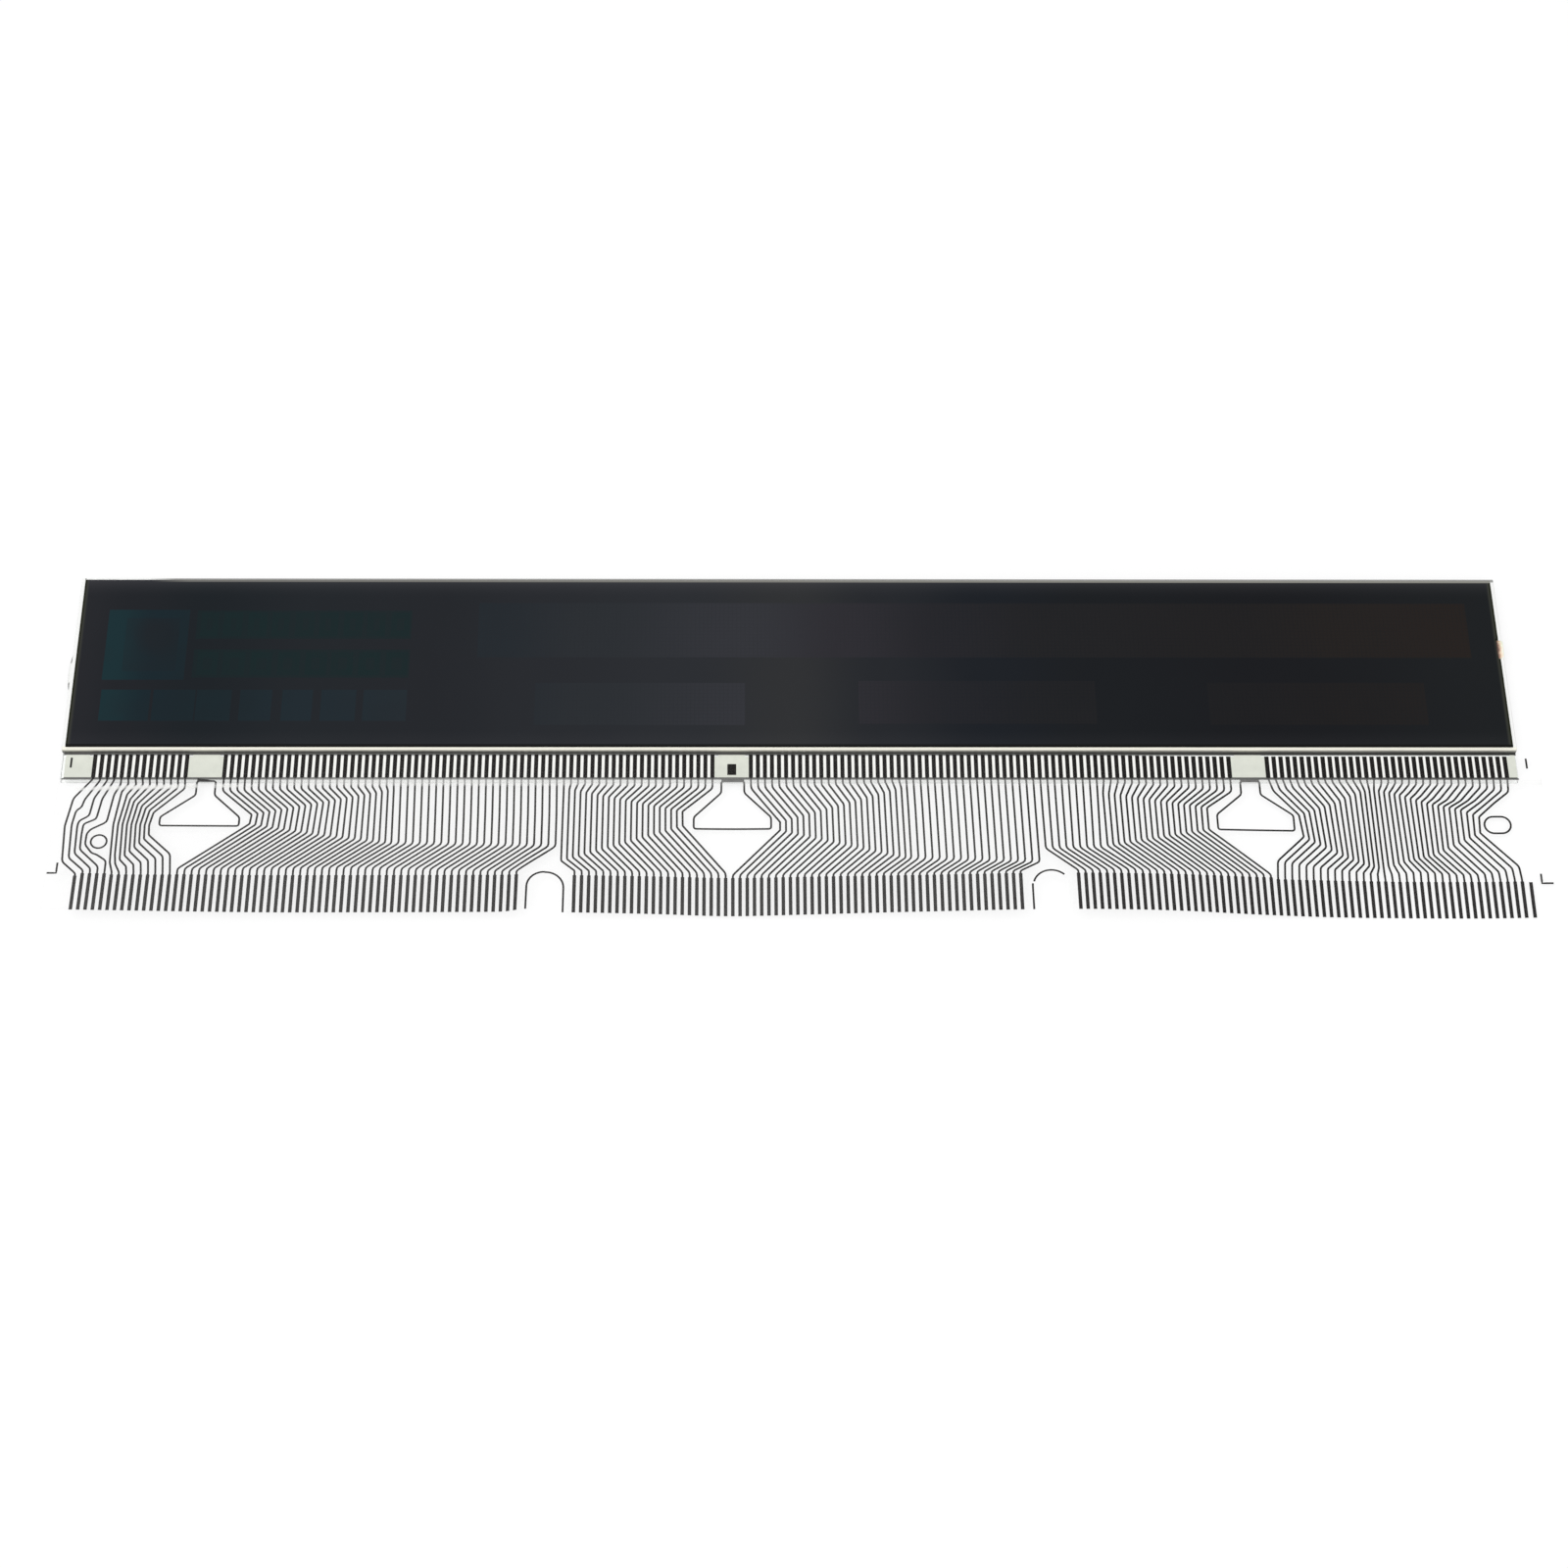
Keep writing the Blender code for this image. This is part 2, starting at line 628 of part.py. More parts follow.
def film_blank():
    """Sheet that the tail is cut from, with columns and rows on its top face for the drape."""
    form = bmesh.new()
    bmesh.ops.create_cube(form, size=1.0)
    low = Vector((TAIL_LEFT_X - DIE_OVERCUT, FREE_EDGE_Y - DIE_OVERCUT, FILM_Z))
    high = Vector((TAIL_RIGHT_X + DIE_OVERCUT, TAIL_TOP_Y + DIE_OVERCUT, FILM_Z + FILM_THICKNESS))
    bmesh.ops.scale(form, vec=high - low, verts=form.verts)
    bmesh.ops.translate(form, vec=(low + high) / 2, verts=form.verts)
    columns = [blend(TAIL_LEFT_X, TAIL_RIGHT_X, step / TOP_COLUMNS) for step in range(1, TOP_COLUMNS)]
    rows = [blend(BOND_END_Y, FREE_EDGE_Y, step / TOP_ROWS) for step in range(TOP_ROWS)]
    cuts = [((x, 0.0, 0.0), (1.0, 0.0, 0.0)) for x in columns]
    cuts += [((0.0, y, 0.0), (0.0, 1.0, 0.0)) for y in rows]
    for point, normal in cuts:
        top = [face for face in form.faces if face.normal.z > 0.5]
        edges = list({edge for face in top for edge in face.edges})
        verts = list({vert for face in top for vert in face.verts})
        bmesh.ops.bisect_plane(form, geom=top + edges + verts, plane_co=point, plane_no=normal)
    return form


def cut_die(windows, notches, collection):
    """Die that cuts the tail out of its sheet, with its windows, holes and notches."""
    outline = [(TAIL_LEFT_X, FREE_EDGE_Y)]
    for centre in notches:
        legs = notch_outline(centre)
        outline.append((legs[0][0], FREE_EDGE_Y))
        outline.extend(legs[1:-1])
        outline.append((legs[-1][0], FREE_EDGE_Y))
    outline.append((TAIL_RIGHT_X, FREE_EDGE_Y))
    outline.append((TAIL_RIGHT_X, BOND_END_Y))
    outline.append((TAIL_RIGHT_X, TAIL_TOP_Y))
    outline.append((TAIL_LEFT_X, TAIL_TOP_Y))
    outline.append((TAIL_LEFT_X, BOND_END_Y))
    holes = [filleted(window_outline(centre), WINDOW_FILLET) for centre in windows]
    holes += [hole_outline(), slot_outline()]
    return plate(
        "tail_die",
        [outline] + holes,
        FILM_Z - DIE_OVERCUT,
        FILM_Z + DIE_OVERCUT,
        collection,
    )


def apply_modifiers(item):
    """Replace an object's mesh by its evaluated one."""
    bpy.context.view_layer.update()
    depsgraph = bpy.context.evaluated_depsgraph_get()
    mesh = bpy.data.meshes.new_from_object(item.evaluated_get(depsgraph))
    item.modifiers.clear()
    item.data = mesh


def add_boolean(item, operation, other):
    """Boolean modifier with the exact solver."""
    modifier = item.modifiers.new(operation.lower(), "BOOLEAN")
    modifier.operation = operation
    modifier.solver = "EXACT"
    modifier.object = other


def make_heat_seal_tail(parts, cutters):
    """Tail: printed on its sheet, die cut, then draped from the ledge."""
    windows = gap_centres(contact_positions(), CONTACT_COUNTS)
    notches = gap_centres(bar_positions(), BAR_COUNTS)
    print_form = bmesh.new()
    add_conductors(print_form)
    add_guards(print_form, windows, notches)
    add_marks(print_form, windows)
    bmesh.ops.recalc_face_normals(print_form, faces=print_form.faces)
    print_mesh = bpy.data.meshes.new("tail_print")
    print_form.to_mesh(print_mesh)
    print_form.free()
    ink = material("conductor_ink", (0.045, 0.040, 0.042), 0.6)
    printed = place("tail_print", print_mesh, cutters, ink)
    die = cut_die(windows, notches, cutters)
    for guide in (printed, die):
        guide.hide_render = True
        guide.display_type = "WIRE"

    blank = film_blank()
    sheet = bpy.data.meshes.new("heat_seal_tail")
    blank.to_mesh(sheet)
    blank.free()
    film = material("polyester_film", (0.80, 0.80, 0.77), 0.25, alpha=0.35)
    tail = place("heat_seal_tail", sheet, parts, film)
    sheet.materials.append(ink)
    add_boolean(tail, "UNION", printed)
    add_boolean(tail, "INTERSECT", die)
    apply_modifiers(tail)
    form = bmesh.new()
    form.from_mesh(tail.data)
    bmesh.ops.remove_doubles(form, verts=form.verts, dist=1e-7)
    form.normal_update()
    near_walls = [face for face in form.faces if face.normal.y < -0.999]
    free_edge = {face for face in near_walls if face.calc_center_median().y < BAR_TOP_Y}
    sheet_faces = [face for face in form.faces if face not in free_edge]
    bmesh.ops.triangulate(form, faces=sheet_faces)
    drape(form)
    bmesh.ops.triangulate(form, faces=list(free_edge))
    form.to_mesh(tail.data)
    form.free()
    return tail


def make_plates(parts):
    """Both glass plates and both polarisers."""
    half_glass = GLASS_WIDTH / 2
    half_film = POLARISER_WIDTH / 2
    half_depth = POLARISER_DEPTH / 2
    rear_film = material("rear_polariser_film", (0.055, 0.060, 0.065), 0.35)
    glass = material("display_glass", (0.80, 0.88, 0.84), 0.05, alpha=0.35)
    front_film = material("front_polariser_film", (0.020, 0.022, 0.026), 0.15)
    box(
        "rear_polariser",
        (-half_film, -half_depth, 0.0),
        (half_film, half_depth, POLARISER_THICKNESS),
        parts,
        rear_film,
    )
    plates = [
        box(
            "rear_glass",
            (-half_glass, LEDGE_Y, REAR_GLASS_Z),
            (half_glass, GLASS_FAR_Y, LEDGE_Z),
            parts,
            glass,
        ),
        box(
            "front_glass",
            (-half_glass, GLASS_NEAR_Y, FRONT_GLASS_Z),
            (half_glass, GLASS_FAR_Y, FRONT_FACE_Z),
            parts,
            glass,
        ),
    ]
    for item in plates:
        seam = item.modifiers.new("seam", "BEVEL")
        seam.width = GLASS_SEAM
        seam.segments = 1
    notch_x = half_glass - PLUG_LIP - NOTCH_CLEARANCE
    notch_half = PLUG_LENGTH / 2 + NOTCH_CLEARANCE
    outline = [
        (-half_film, -half_depth),
        (half_film, -half_depth),
        (half_film, FILL_PORT_Y - notch_half),
        (notch_x, FILL_PORT_Y - notch_half),
        (notch_x, FILL_PORT_Y + notch_half),
        (half_film, FILL_PORT_Y + notch_half),
        (half_film, half_depth),
        (-half_film, half_depth),
    ]
    top = FRONT_POLARISER_Z + POLARISER_THICKNESS
    plate("front_polariser", [outline], FRONT_POLARISER_Z, top, parts, front_film)


def seal_outline(side, run_y):
    """Half of the seal: a long run at run_y and a lip at each port, on one side of the ports."""
    outer = GLASS_WIDTH / 2 - SEAL_INSET
    inner = outer - SEAL_WIDTH
    lip = GLASS_WIDTH / 2 - SEAL_SETBACK
    fill_y = FILL_PORT_Y + side * PORT_WIDTH / 2
    vent_y = VENT_PORT_Y + side * PORT_WIDTH / 2
    return [
        (lip, fill_y),
        (lip, fill_y + side * SEAL_WIDTH),
        (outer, fill_y + side * SEAL_WIDTH),
        (outer, run_y),
        (-outer, run_y),
        (-outer, vent_y + side * SEAL_WIDTH),
        (-lip, vent_y + side * SEAL_WIDTH),
        (-lip, vent_y),
        (-inner, vent_y),
        (-inner, run_y - side * SEAL_WIDTH),
        (inner, run_y - side * SEAL_WIDTH),
        (inner, fill_y),
    ]


def make_cell(parts):
    """Seal, liquid crystal and transfer dots in the gap between the plates."""
    low_z = LEDGE_Z + BOND_LINE
    high_z = FRONT_GLASS_Z - BOND_LINE
    far_run = GLASS_FAR_Y - SEAL_INSET
    near_run = GLASS_NEAR_Y + SEAL_INSET
    seal = material("seal_glue", (0.55, 0.53, 0.45), 0.5)
    plate("cell_seal_upper", [seal_outline(1, far_run)], low_z, high_z, parts, seal)
    plate("cell_seal_lower", [seal_outline(-1, near_run)], low_z, high_z, parts, seal)

    inner = GLASS_WIDTH / 2 - SEAL_INSET - SEAL_WIDTH - SEAL_CLEARANCE
    mouth = GLASS_WIDTH / 2 - SEAL_SETBACK
    half_port = PORT_WIDTH / 2 - SEAL_CLEARANCE
    near = near_run + SEAL_WIDTH + SEAL_CLEARANCE
    far = far_run - SEAL_WIDTH - SEAL_CLEARANCE
    pool = [
        (-inner, near),
        (inner, near),
        (inner, FILL_PORT_Y - half_port),
        (mouth, FILL_PORT_Y - half_port),
        (mouth, FILL_PORT_Y + half_port),
        (inner, FILL_PORT_Y + half_port),
        (inner, far),
        (-inner, far),
        (-inner, VENT_PORT_Y + half_port),
        (-mouth, VENT_PORT_Y + half_port),
        (-mouth, VENT_PORT_Y - half_port),
        (-inner, VENT_PORT_Y - half_port),
    ]
    crystal = material("liquid_crystal", (0.70, 0.72, 0.66), 0.1)
    plate("liquid_crystal", [pool], low_z, high_z, parts, crystal)

    silver = material("transfer_silver", (0.60, 0.60, 0.60), 0.4, metallic=0.8)
    for name, side in (("transfer_dot_left", -1), ("transfer_dot_right", 1)):
        form = bmesh.new()
        radius = TRANSFER_DOT_DIAMETER / 2
        bmesh.ops.create_cone(
            form,
            cap_ends=True,
            segments=HOLE_SEGMENTS,
            radius1=radius,
            radius2=radius,
            depth=high_z - low_z,
        )
        mesh = bpy.data.meshes.new(name)
        form.to_mesh(mesh)
        form.free()
        dot = place(name, mesh, parts, silver)
        dot.location = (
            side * (GLASS_WIDTH / 2 - TRANSFER_DOT_INSET),
            GLASS_NEAR_Y + TRANSFER_DOT_INSET,
            (low_z + high_z) / 2,
        )


def make_bead(name, side, centre_y, length, bulge, lip, parts, look):
    """Bead of glue on the end of the glass; with a lip it also laps over the front face."""
    edge = GLASS_WIDTH / 2 + BOND_LINE
    foot = REAR_GLASS_Z + BEAD_RIM
    crown = FRONT_FACE_Z + BOND_LINE
    middle = (foot + crown) / 2
    form = bmesh.new()
    sections = []
    for station in range(BEAD_STATIONS):
        along = blend(-1.0, 1.0, station / (BEAD_STATIONS - 1)) * (1 - 0.5 / BEAD_STATIONS)
        swell = math.sqrt(1 - along * along)
        y = centre_y + along * length / 2
        out = edge + bulge * swell
        shoulder = edge + bulge * swell * 0.8
        section = [(edge, foot), (shoulder, blend(foot, middle, 0.4)), (out, middle)]
        if lip:
            rise = PLUG_LIP_HEIGHT * swell
            back = GLASS_WIDTH / 2 - PLUG_LIP * blend(0.4, 1.0, swell)
            section += [
                (shoulder, blend(middle, crown, 0.8)),
                (edge, crown + rise),
                (back + PLUG_LIP_HEIGHT, crown + rise),
                (back, crown + rise * 0.3),
                (back, crown),
                (edge, crown),
            ]
        else:
            section += [(shoulder, blend(middle, crown, 0.6)), (edge, crown - BEAD_RIM / 2)]
        sections.append([(side * x, y, z) for x, z in section])
    loft(form, sections)
    bmesh.ops.recalc_face_normals(form, faces=form.faces)
    mesh = bpy.data.meshes.new(name)
    form.to_mesh(mesh)
    form.free()
    mesh.shade_smooth()
    mesh.set_sharp_from_angle(angle=math.radians(40))
    return place(name, mesh, parts, look)


def make_port_beads(parts):
    """Amber plug of the fill port and clear bead of the vent port."""
    amber = material("amber_glue", (0.55, 0.30, 0.16), 0.3)
    clear = material("clear_glue", (0.85, 0.87, 0.85), 0.1, alpha=0.4)
    make_bead("fill_port_plug", 1, FILL_PORT_Y, PLUG_LENGTH, PLUG_BULGE, True, parts, amber)
    make_bead("vent_port_bead", -1, VENT_PORT_Y, VENT_BEAD_LENGTH, VENT_BEAD_BULGE, False, parts, clear)


def make_tail_bonds(parts):
    """Strip of conductive glue under each group of contacts."""
    glue = material("conductive_glue", (0.72, 0.72, 0.66), 0.5)
    contacts = contact_positions()
    first = 0
    for number, count in enumerate(CONTACT_COUNTS, 1):
        left = contacts[first] - BOND_STRIP_OVERHANG
        right = contacts[first + count - 1] + BOND_STRIP_OVERHANG
        box(
            f"tail_bond_{number}",
            (left, BOND_END_Y, BOND_STRIP_Z),
            (right, CONTACT_TOP_Y, BOND_STRIP_Z + BOND_STRIP_THICKNESS),
            parts,
            glue,
        )
        first += count


def main():
    """Build the display."""
    clear_scene()
    parts = new_collection("lcd_screen")
    cutters = new_collection("cutters", hidden=True)
    make_plates(parts)
    make_cell(parts)
    make_port_beads(parts)
    make_tail_bonds(parts)
    make_heat_seal_tail(parts, cutters)


main()
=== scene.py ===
"""Finished surfaces of a long liquid crystal display with a printed heat-seal tail.

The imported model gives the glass, the polarisers and the glue between them, which keep their forms
and get their finishes here. The tail is made again as a draped clear film with its conductors,
guard lines and marks printed underneath. The tables and the finishes are in millimetres on the
plan of the part, and settings and meshes in metres. X runs along the display, Y away from the tail
and Z up from the table.
"""

import math

import bpy
import numpy as np
from bpy.props import FloatProperty, FloatVectorProperty, PointerProperty
from mathutils import Matrix, Vector


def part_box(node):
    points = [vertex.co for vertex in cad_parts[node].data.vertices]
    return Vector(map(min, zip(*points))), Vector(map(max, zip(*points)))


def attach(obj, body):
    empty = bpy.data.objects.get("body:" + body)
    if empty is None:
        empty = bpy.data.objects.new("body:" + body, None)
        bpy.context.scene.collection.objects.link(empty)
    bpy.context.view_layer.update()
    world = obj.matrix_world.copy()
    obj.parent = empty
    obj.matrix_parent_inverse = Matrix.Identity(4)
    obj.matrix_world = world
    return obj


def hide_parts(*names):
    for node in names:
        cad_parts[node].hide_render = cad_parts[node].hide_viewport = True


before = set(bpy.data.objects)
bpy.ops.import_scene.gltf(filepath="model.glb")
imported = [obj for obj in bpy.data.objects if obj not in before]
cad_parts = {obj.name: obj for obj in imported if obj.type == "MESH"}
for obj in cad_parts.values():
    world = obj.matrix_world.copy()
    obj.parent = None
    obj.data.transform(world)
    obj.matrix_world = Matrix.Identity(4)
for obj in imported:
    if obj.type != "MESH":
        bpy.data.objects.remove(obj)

bl_info = {
    "name": "Display and Heat-Seal Tail",
    "version": (1, 0, 0),
    "blender": (4, 5, 0),
    "location": "3D View > Sidebar > Display",
    "description": "Finishes a glass display and prints its heat-seal tail",
    "category": "Object",
}

MM = 0.001

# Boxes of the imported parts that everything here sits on, in metres
REAR_LOW, REAR_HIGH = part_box("rear_glass")
FRONT_LOW, FRONT_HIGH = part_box("front_glass")
POLARISER_LOW, POLARISER_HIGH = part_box("front_polariser")

# Contacts on the ledge: the ones on the right start a little lower and are a little wider
CONTACT_COUNTS = (14, 70, 69, 35)
CONTACT_GAP = 5.45
FIRST_CONTACT = -98.675
CONTACT_TOP = -14.95
CONTACT_END = -18.76
SHORTER_FROM = 40.0
SHORTER_TO = 60.0
CONTACT_SHORTER = 0.3
CONTACT_WIDER = 0.07

# Bars at the free edge. The film has stretched a little to the right of a place, and its last bar
# stands apart.
BAR_COUNTS = (62, 63, 64)
BAR_GAP = 8.05
FIRST_BAR = -99.365
BAR_TOP = -35.0
STRETCH_START = 68.0
STRETCH = 0.23
SPARE_SHIFT = 0.17
SPARE_TOP = -35.5

# Outline of the film, and the height of its underside on the ledge
BOND_END = -18.9
FREE_EDGE = -41.05
TAIL_TOP = -14.85
TAIL_LEFT = -103.5
TAIL_RIGHT = 106.5
FILM_Z = 1.39
INK_CLEARANCE = 0.002

# Height of the free edge over the table, at even steps from the left end to the right end
EDGE_HEIGHTS = (2.90, 2.60, 2.24, 2.00, 2.00, 2.04, 2.10, 1.94, 1.50, 0.87, 1.30, 1.87, 2.35, 2.80,
                2.85, 2.35, 1.27, 0.50, 0.20, 0.14, 0.47)
CURL_HEIGHT = 0.92
CURL_PLACE = -36.7
CURL_WIDTH = 2.3

# Cuts in the film. A window's guard line: left and right of its neck, left and right of its foot,
# then the depths where the neck and the shoulders end and where the foot lies.
WINDOWS = (
    (-83.95, -81.30, -88.59, -77.50, -21.80, -25.50, -26.96),
    (-9.95, -6.72, -13.82, -2.94, -21.30, -25.30, -27.20),
    (63.60, 66.32, 59.90, 70.72, -21.60, -24.95, -27.45),
)
WINDOW_TOP = -19.40
WINDOW_FILLET = 0.4
# Painted shadow drawn in ink along the top of each window's neck: its width at the left and at the
# right
NECK_SHADES = ((0.60, 0.02), (0.38, 0.38), (0.36, 0.36))
HOLE_CENTRE = (-96.7, -29.72)
HOLE_RADIUS = 0.9
SLOT_CENTRE = (99.5, -26.4)
SLOT_REACH = 0.525
SLOT_RADIUS = 1.125
NOTCH_CENTRES = (-34.35, 35.95)
NOTCH_RADIUS = 2.35
NOTCH_ARC_Y = -37.1

# Fans of conductors: numbered ones with their turns; those between two of them lie in even steps
FANS = (
    ((0, ((-98.8, -19.26), (-101.01, -22.4), (-101.7, -27.11), (-101.4, -33.13),
          (-99.4, -35.07))),),
    ((1, ((-97.6, -19.26), (-99.42, -22.6), (-99.71, -23.89), (-100.42, -24.54), (-100.76, -26.89),
          (-100.56, -32.49), (-98.4, -34.53))),),
    ((2, ((-96.6, -19.26), (-98.13, -22.38), (-98.5, -25.37), (-99.8, -26.24), (-99.96, -27.09),
          (-99.84, -31.74), (-97.4, -34.2))),),
    ((3, ((-95.65, -19.26), (-96.98, -22.48), (-97.45, -25.9), (-99.13, -26.76), (-99.22, -28.56),
          (-99.17, -31.09), (-96.4, -33.87))),),
    ((4, ((-94.65, -20.01), (-95.39, -21.73), (-95.95, -26.42), (-98.07, -27.7), (-98.51, -28.45),
          (-98.54, -30.24), (-97.46, -31.7), (-96.84, -31.85), (-95.4, -32.92))),),
    ((5, ((-93.58, -19.93), (-94.37, -21.27), (-94.97, -26.78), (-94.87, -31.24), (-94.8, -33.2),
          (-94.56, -34.82))),
     (6, ((-92.47, -20.01), (-93.57, -21.69), (-94.32, -26.78), (-94.23, -31.88), (-94.03, -33.43),
          (-93.55, -34.81))),
     (7, ((-91.51, -20.01), (-93.07, -22.53), (-93.7, -26.78), (-93.5, -32.69), (-92.5, -33.82),
          (-92.54, -34.8))),
     (13, ((-85.55, -20.67), (-89.56, -24.76), (-89.98, -26.91), (-89.87, -28.56), (-86.62, -31.71),
           (-86.48, -34.71)))),
    ((14, ((-80.2, -21.06), (-75.83, -25.04), (-76.0, -26.6), (-85.4, -34.08))),
     (26, ((-68.2, -20.64), (-65.93, -22.95), (-66.3, -28.38), (-73.4, -33.88))),
     (38, ((-56.2, -20.22), (-56.15, -20.9), (-56.0, -29.8), (-61.4, -33.75)))),
    ((39, ((-55.2, -20.22), (-55.1, -25.0), (-55.0, -29.8), (-60.4, -33.77))),
     (61, ((-33.2, -19.77), (-33.1, -25.0), (-33.09, -30.31), (-38.4, -34.43)))),
    ((62, ((-32.2, -19.77), (-32.2, -20.6), (-32.24, -32.67), (-30.35, -34.29))),
     (83, ((-11.2, -20.57), (-15.41, -24.39), (-15.36, -26.74), (-9.35, -34.28)))),
    ((84, ((-5.75, -20.56), (-1.68, -26.11), (-1.69, -27.44), (-8.35, -34.56))),
     (105, ((15.25, -19.4), (15.5, -20.61), (15.8, -32.18), (12.65, -34.69)))),
    ((106, ((16.25, -19.3), (16.4, -24.0), (16.59, -32.3), (13.65, -34.71))),
     (124, ((34.25, -19.3), (34.3, -24.0), (34.42, -33.18), (31.65, -34.65)))),
    ((125, ((35.25, -19.3), (35.3, -24.0), (35.41, -30.92), (39.74, -34.57))),
     (133, ((43.25, -19.3), (43.2, -24.0), (43.11, -30.69), (47.74, -34.39)))),
    ((134, ((44.25, -19.3), (44.0, -21.5), (44.09, -30.47), (48.74, -34.48))),
     (152, ((62.25, -21.1), (58.57, -23.85), (58.56, -27.49), (66.74, -34.54)))),
    ((153, ((68.2, -20.98), (71.52, -24.87), (71.92, -28.42), (67.92, -32.36), (67.74, -34.91))),
     (160, ((74.8, -19.75), (76.76, -22.93), (77.21, -31.31), (74.88, -33.44), (74.74, -34.91))),
     (165, ((79.75, -19.43), (80.54, -21.1), (80.79, -32.9), (79.87, -33.99), (79.74, -34.95))),
     (168, ((82.64, -19.43), (82.52, -20.78), (82.76, -33.27), (82.8, -34.35), (82.74, -34.96)))),
    ((169, ((83.7, -19.51), (83.55, -20.14), (83.17, -20.94), (83.48, -32.96), (83.8, -34.19),
            (83.74, -35.0))),
     (173, ((87.58, -19.9), (86.75, -20.93), (86.06, -21.64), (86.46, -32.01), (87.9, -33.85),
            (87.74, -35.0))),
     (178, ((92.65, -19.9), (90.74, -22.19), (89.83, -22.97), (89.99, -31.15), (92.88, -34.22),
            (92.74, -35.0))),
     (181, ((95.66, -20.06), (93.7, -22.5), (92.14, -23.44), (92.17, -30.06), (95.85, -34.23),
            (95.74, -35.0))),
     (184, ((98.65, -20.54), (96.69, -22.5), (94.52, -23.99), (94.58, -28.83), (98.85, -33.8),
            (98.74, -35.0))),
     (187, ((101.6, -21.09), (99.28, -22.98), (97.01, -25.09), (96.91, -27.67), (101.77, -32.99),
            (101.74, -35.0)))),
)

# Corner marks, dashes and the centre pad with its width
CORNERS = (
    ((-102.0, -33.3), (-102.0, -35.04), (-103.3, -35.04)),
    ((104.7, -34.2), (104.7, -35.7), (106.3, -35.7)),
)
DASHES = (
    ((-102.0, -15.5), (-102.0, -17.15)),
    ((104.7, -15.6), (104.7, -17.25)),
)
CENTRE_PAD = ((-8.48, -16.55), (-8.48, -18.35))
CENTRE_PAD_WIDTH = 1.25

# Beads of glue on the ends of the glass: side, middle, length and bulge, then whether it laps over
AMBER_PLUG = (1, 2.4, 3.2, 0.2, True)
CLEAR_BEAD = (-1, -1.6, 5.9, 0.48, False)
LAP_REACH = 0.95
LAP_RISE = 0.15

# Notch in the polariser's right end, where the plug sits: middle and half size
PLUG_NOTCH = (102.5, 2.4, 0.28, 1.9)

# Light that the gloss of the front polariser adds to its colours
GLOSS = 0.0078

# Faint fields that show in the cell when it is off: middle and half size, on the front face
ICON_FIELD = (-92.95, 2.98, 5.85, 6.1)
ICON_DISC = (-91.3, 4.6, 0.0)
BOX_ROW = (-7.45, 2.65, ((-98.8, -91.7), (-91.3, -85.4), (-85.0, -80.2), (-78.8, -74.35),
                         (-72.95, -68.6), (-67.2, -62.3), (-61.3, -55.15)))
LINES = ((6.5, 2.5, -86.0, -54.9, 9), (-0.3, 2.45, -86.0, -54.9, 8))
LINE_SPAN = (-103.0, -50.0)
DOT_PITCH = 0.6
DOT_FIELDS = (
    (26.7, 5.6, 71.9, 4.75, 1.0),
    (-21.65, -7.2, 15.05, 3.6, 1.0),
    (15.5, -6.9, 5.8, 3.65, 0.8),
    (32.5, -6.9, 11.2, 3.65, 0.65),
    (75.55, -7.1, 15.65, 3.6, 0.5),
)

# Tones of the front along the display, as seen under its gloss: the plain cell, its fields and the
# two rows of blocks. The cell and its fields are lightest near the middle, where painted reflection
# lies over their own dark tones.
TONE_SPAN = (-103.0, 103.0)
CELL_TONES = (
    (-103.0, (41, 42, 46)),
    (-96.0, (37, 39, 43)),
    (-85.0, (33, 37, 41)),
    (-68.0, (38, 41, 45)),
    (-52.0, (39, 41, 45)),
    (-36.0, (42, 44, 48)),
    (-15.0, (45, 47, 51)),
    (0.0, (49, 50, 52)),
    (13.0, (40, 42, 46)),
    (28.0, (32, 35, 40)),
    (44.0, (31, 33, 36)),
    (70.0, (30, 31, 34)),
    (103.0, (33, 35, 37)),
)
FIELD_TONES = (
    (-103.0, (31, 51, 56)),
    (-97.5, (31, 50, 55)),
    (-92.0, (30, 42, 48)),
    (-84.0, (31, 42, 47)),
    (-68.0, (36, 45, 51)),
    (-52.0, (39, 46, 51)),
    (-43.0, (39, 44, 49)),
    (-29.0, (45, 48, 52)),
    (-6.0, (53, 54, 59)),
    (8.0, (48, 47, 52)),
    (22.0, (40, 40, 44)),
    (37.0, (37, 37, 39)),
    (65.0, (36, 35, 36)),
    (80.0, (39, 36, 35)),
    (103.0, (41, 36, 34)),
)
LINE_TONE = (26, 44, 45)

# Tone of the painted shade lines along the ledge, from the left part of the display to its right
# end
LEDGE_SHADE_SPAN = (-50.0, 100.0)
LEDGE_SHADE_TONES = ((0.13, 0.13, 0.125), (0.040, 0.040, 0.037))

# Camera: place in metres, turns in radians, lens in millimetres
CAMERA_PLACE = (-0.007987, -0.272581, 0.409672)
CAMERA_PITCH = 1.01639004
CAMERA_YAW = -0.0274684
CAMERA_ROLL = -0.0235256
CAMERA_LENS = 77.93
CAMERA_SHIFT = -0.0002

# Studio, in metres
FLOOR_DROP = 0.00002
LAMP_PLACE = (-0.25, -0.55, 1.25)
LAMP_SIZE = 1.4


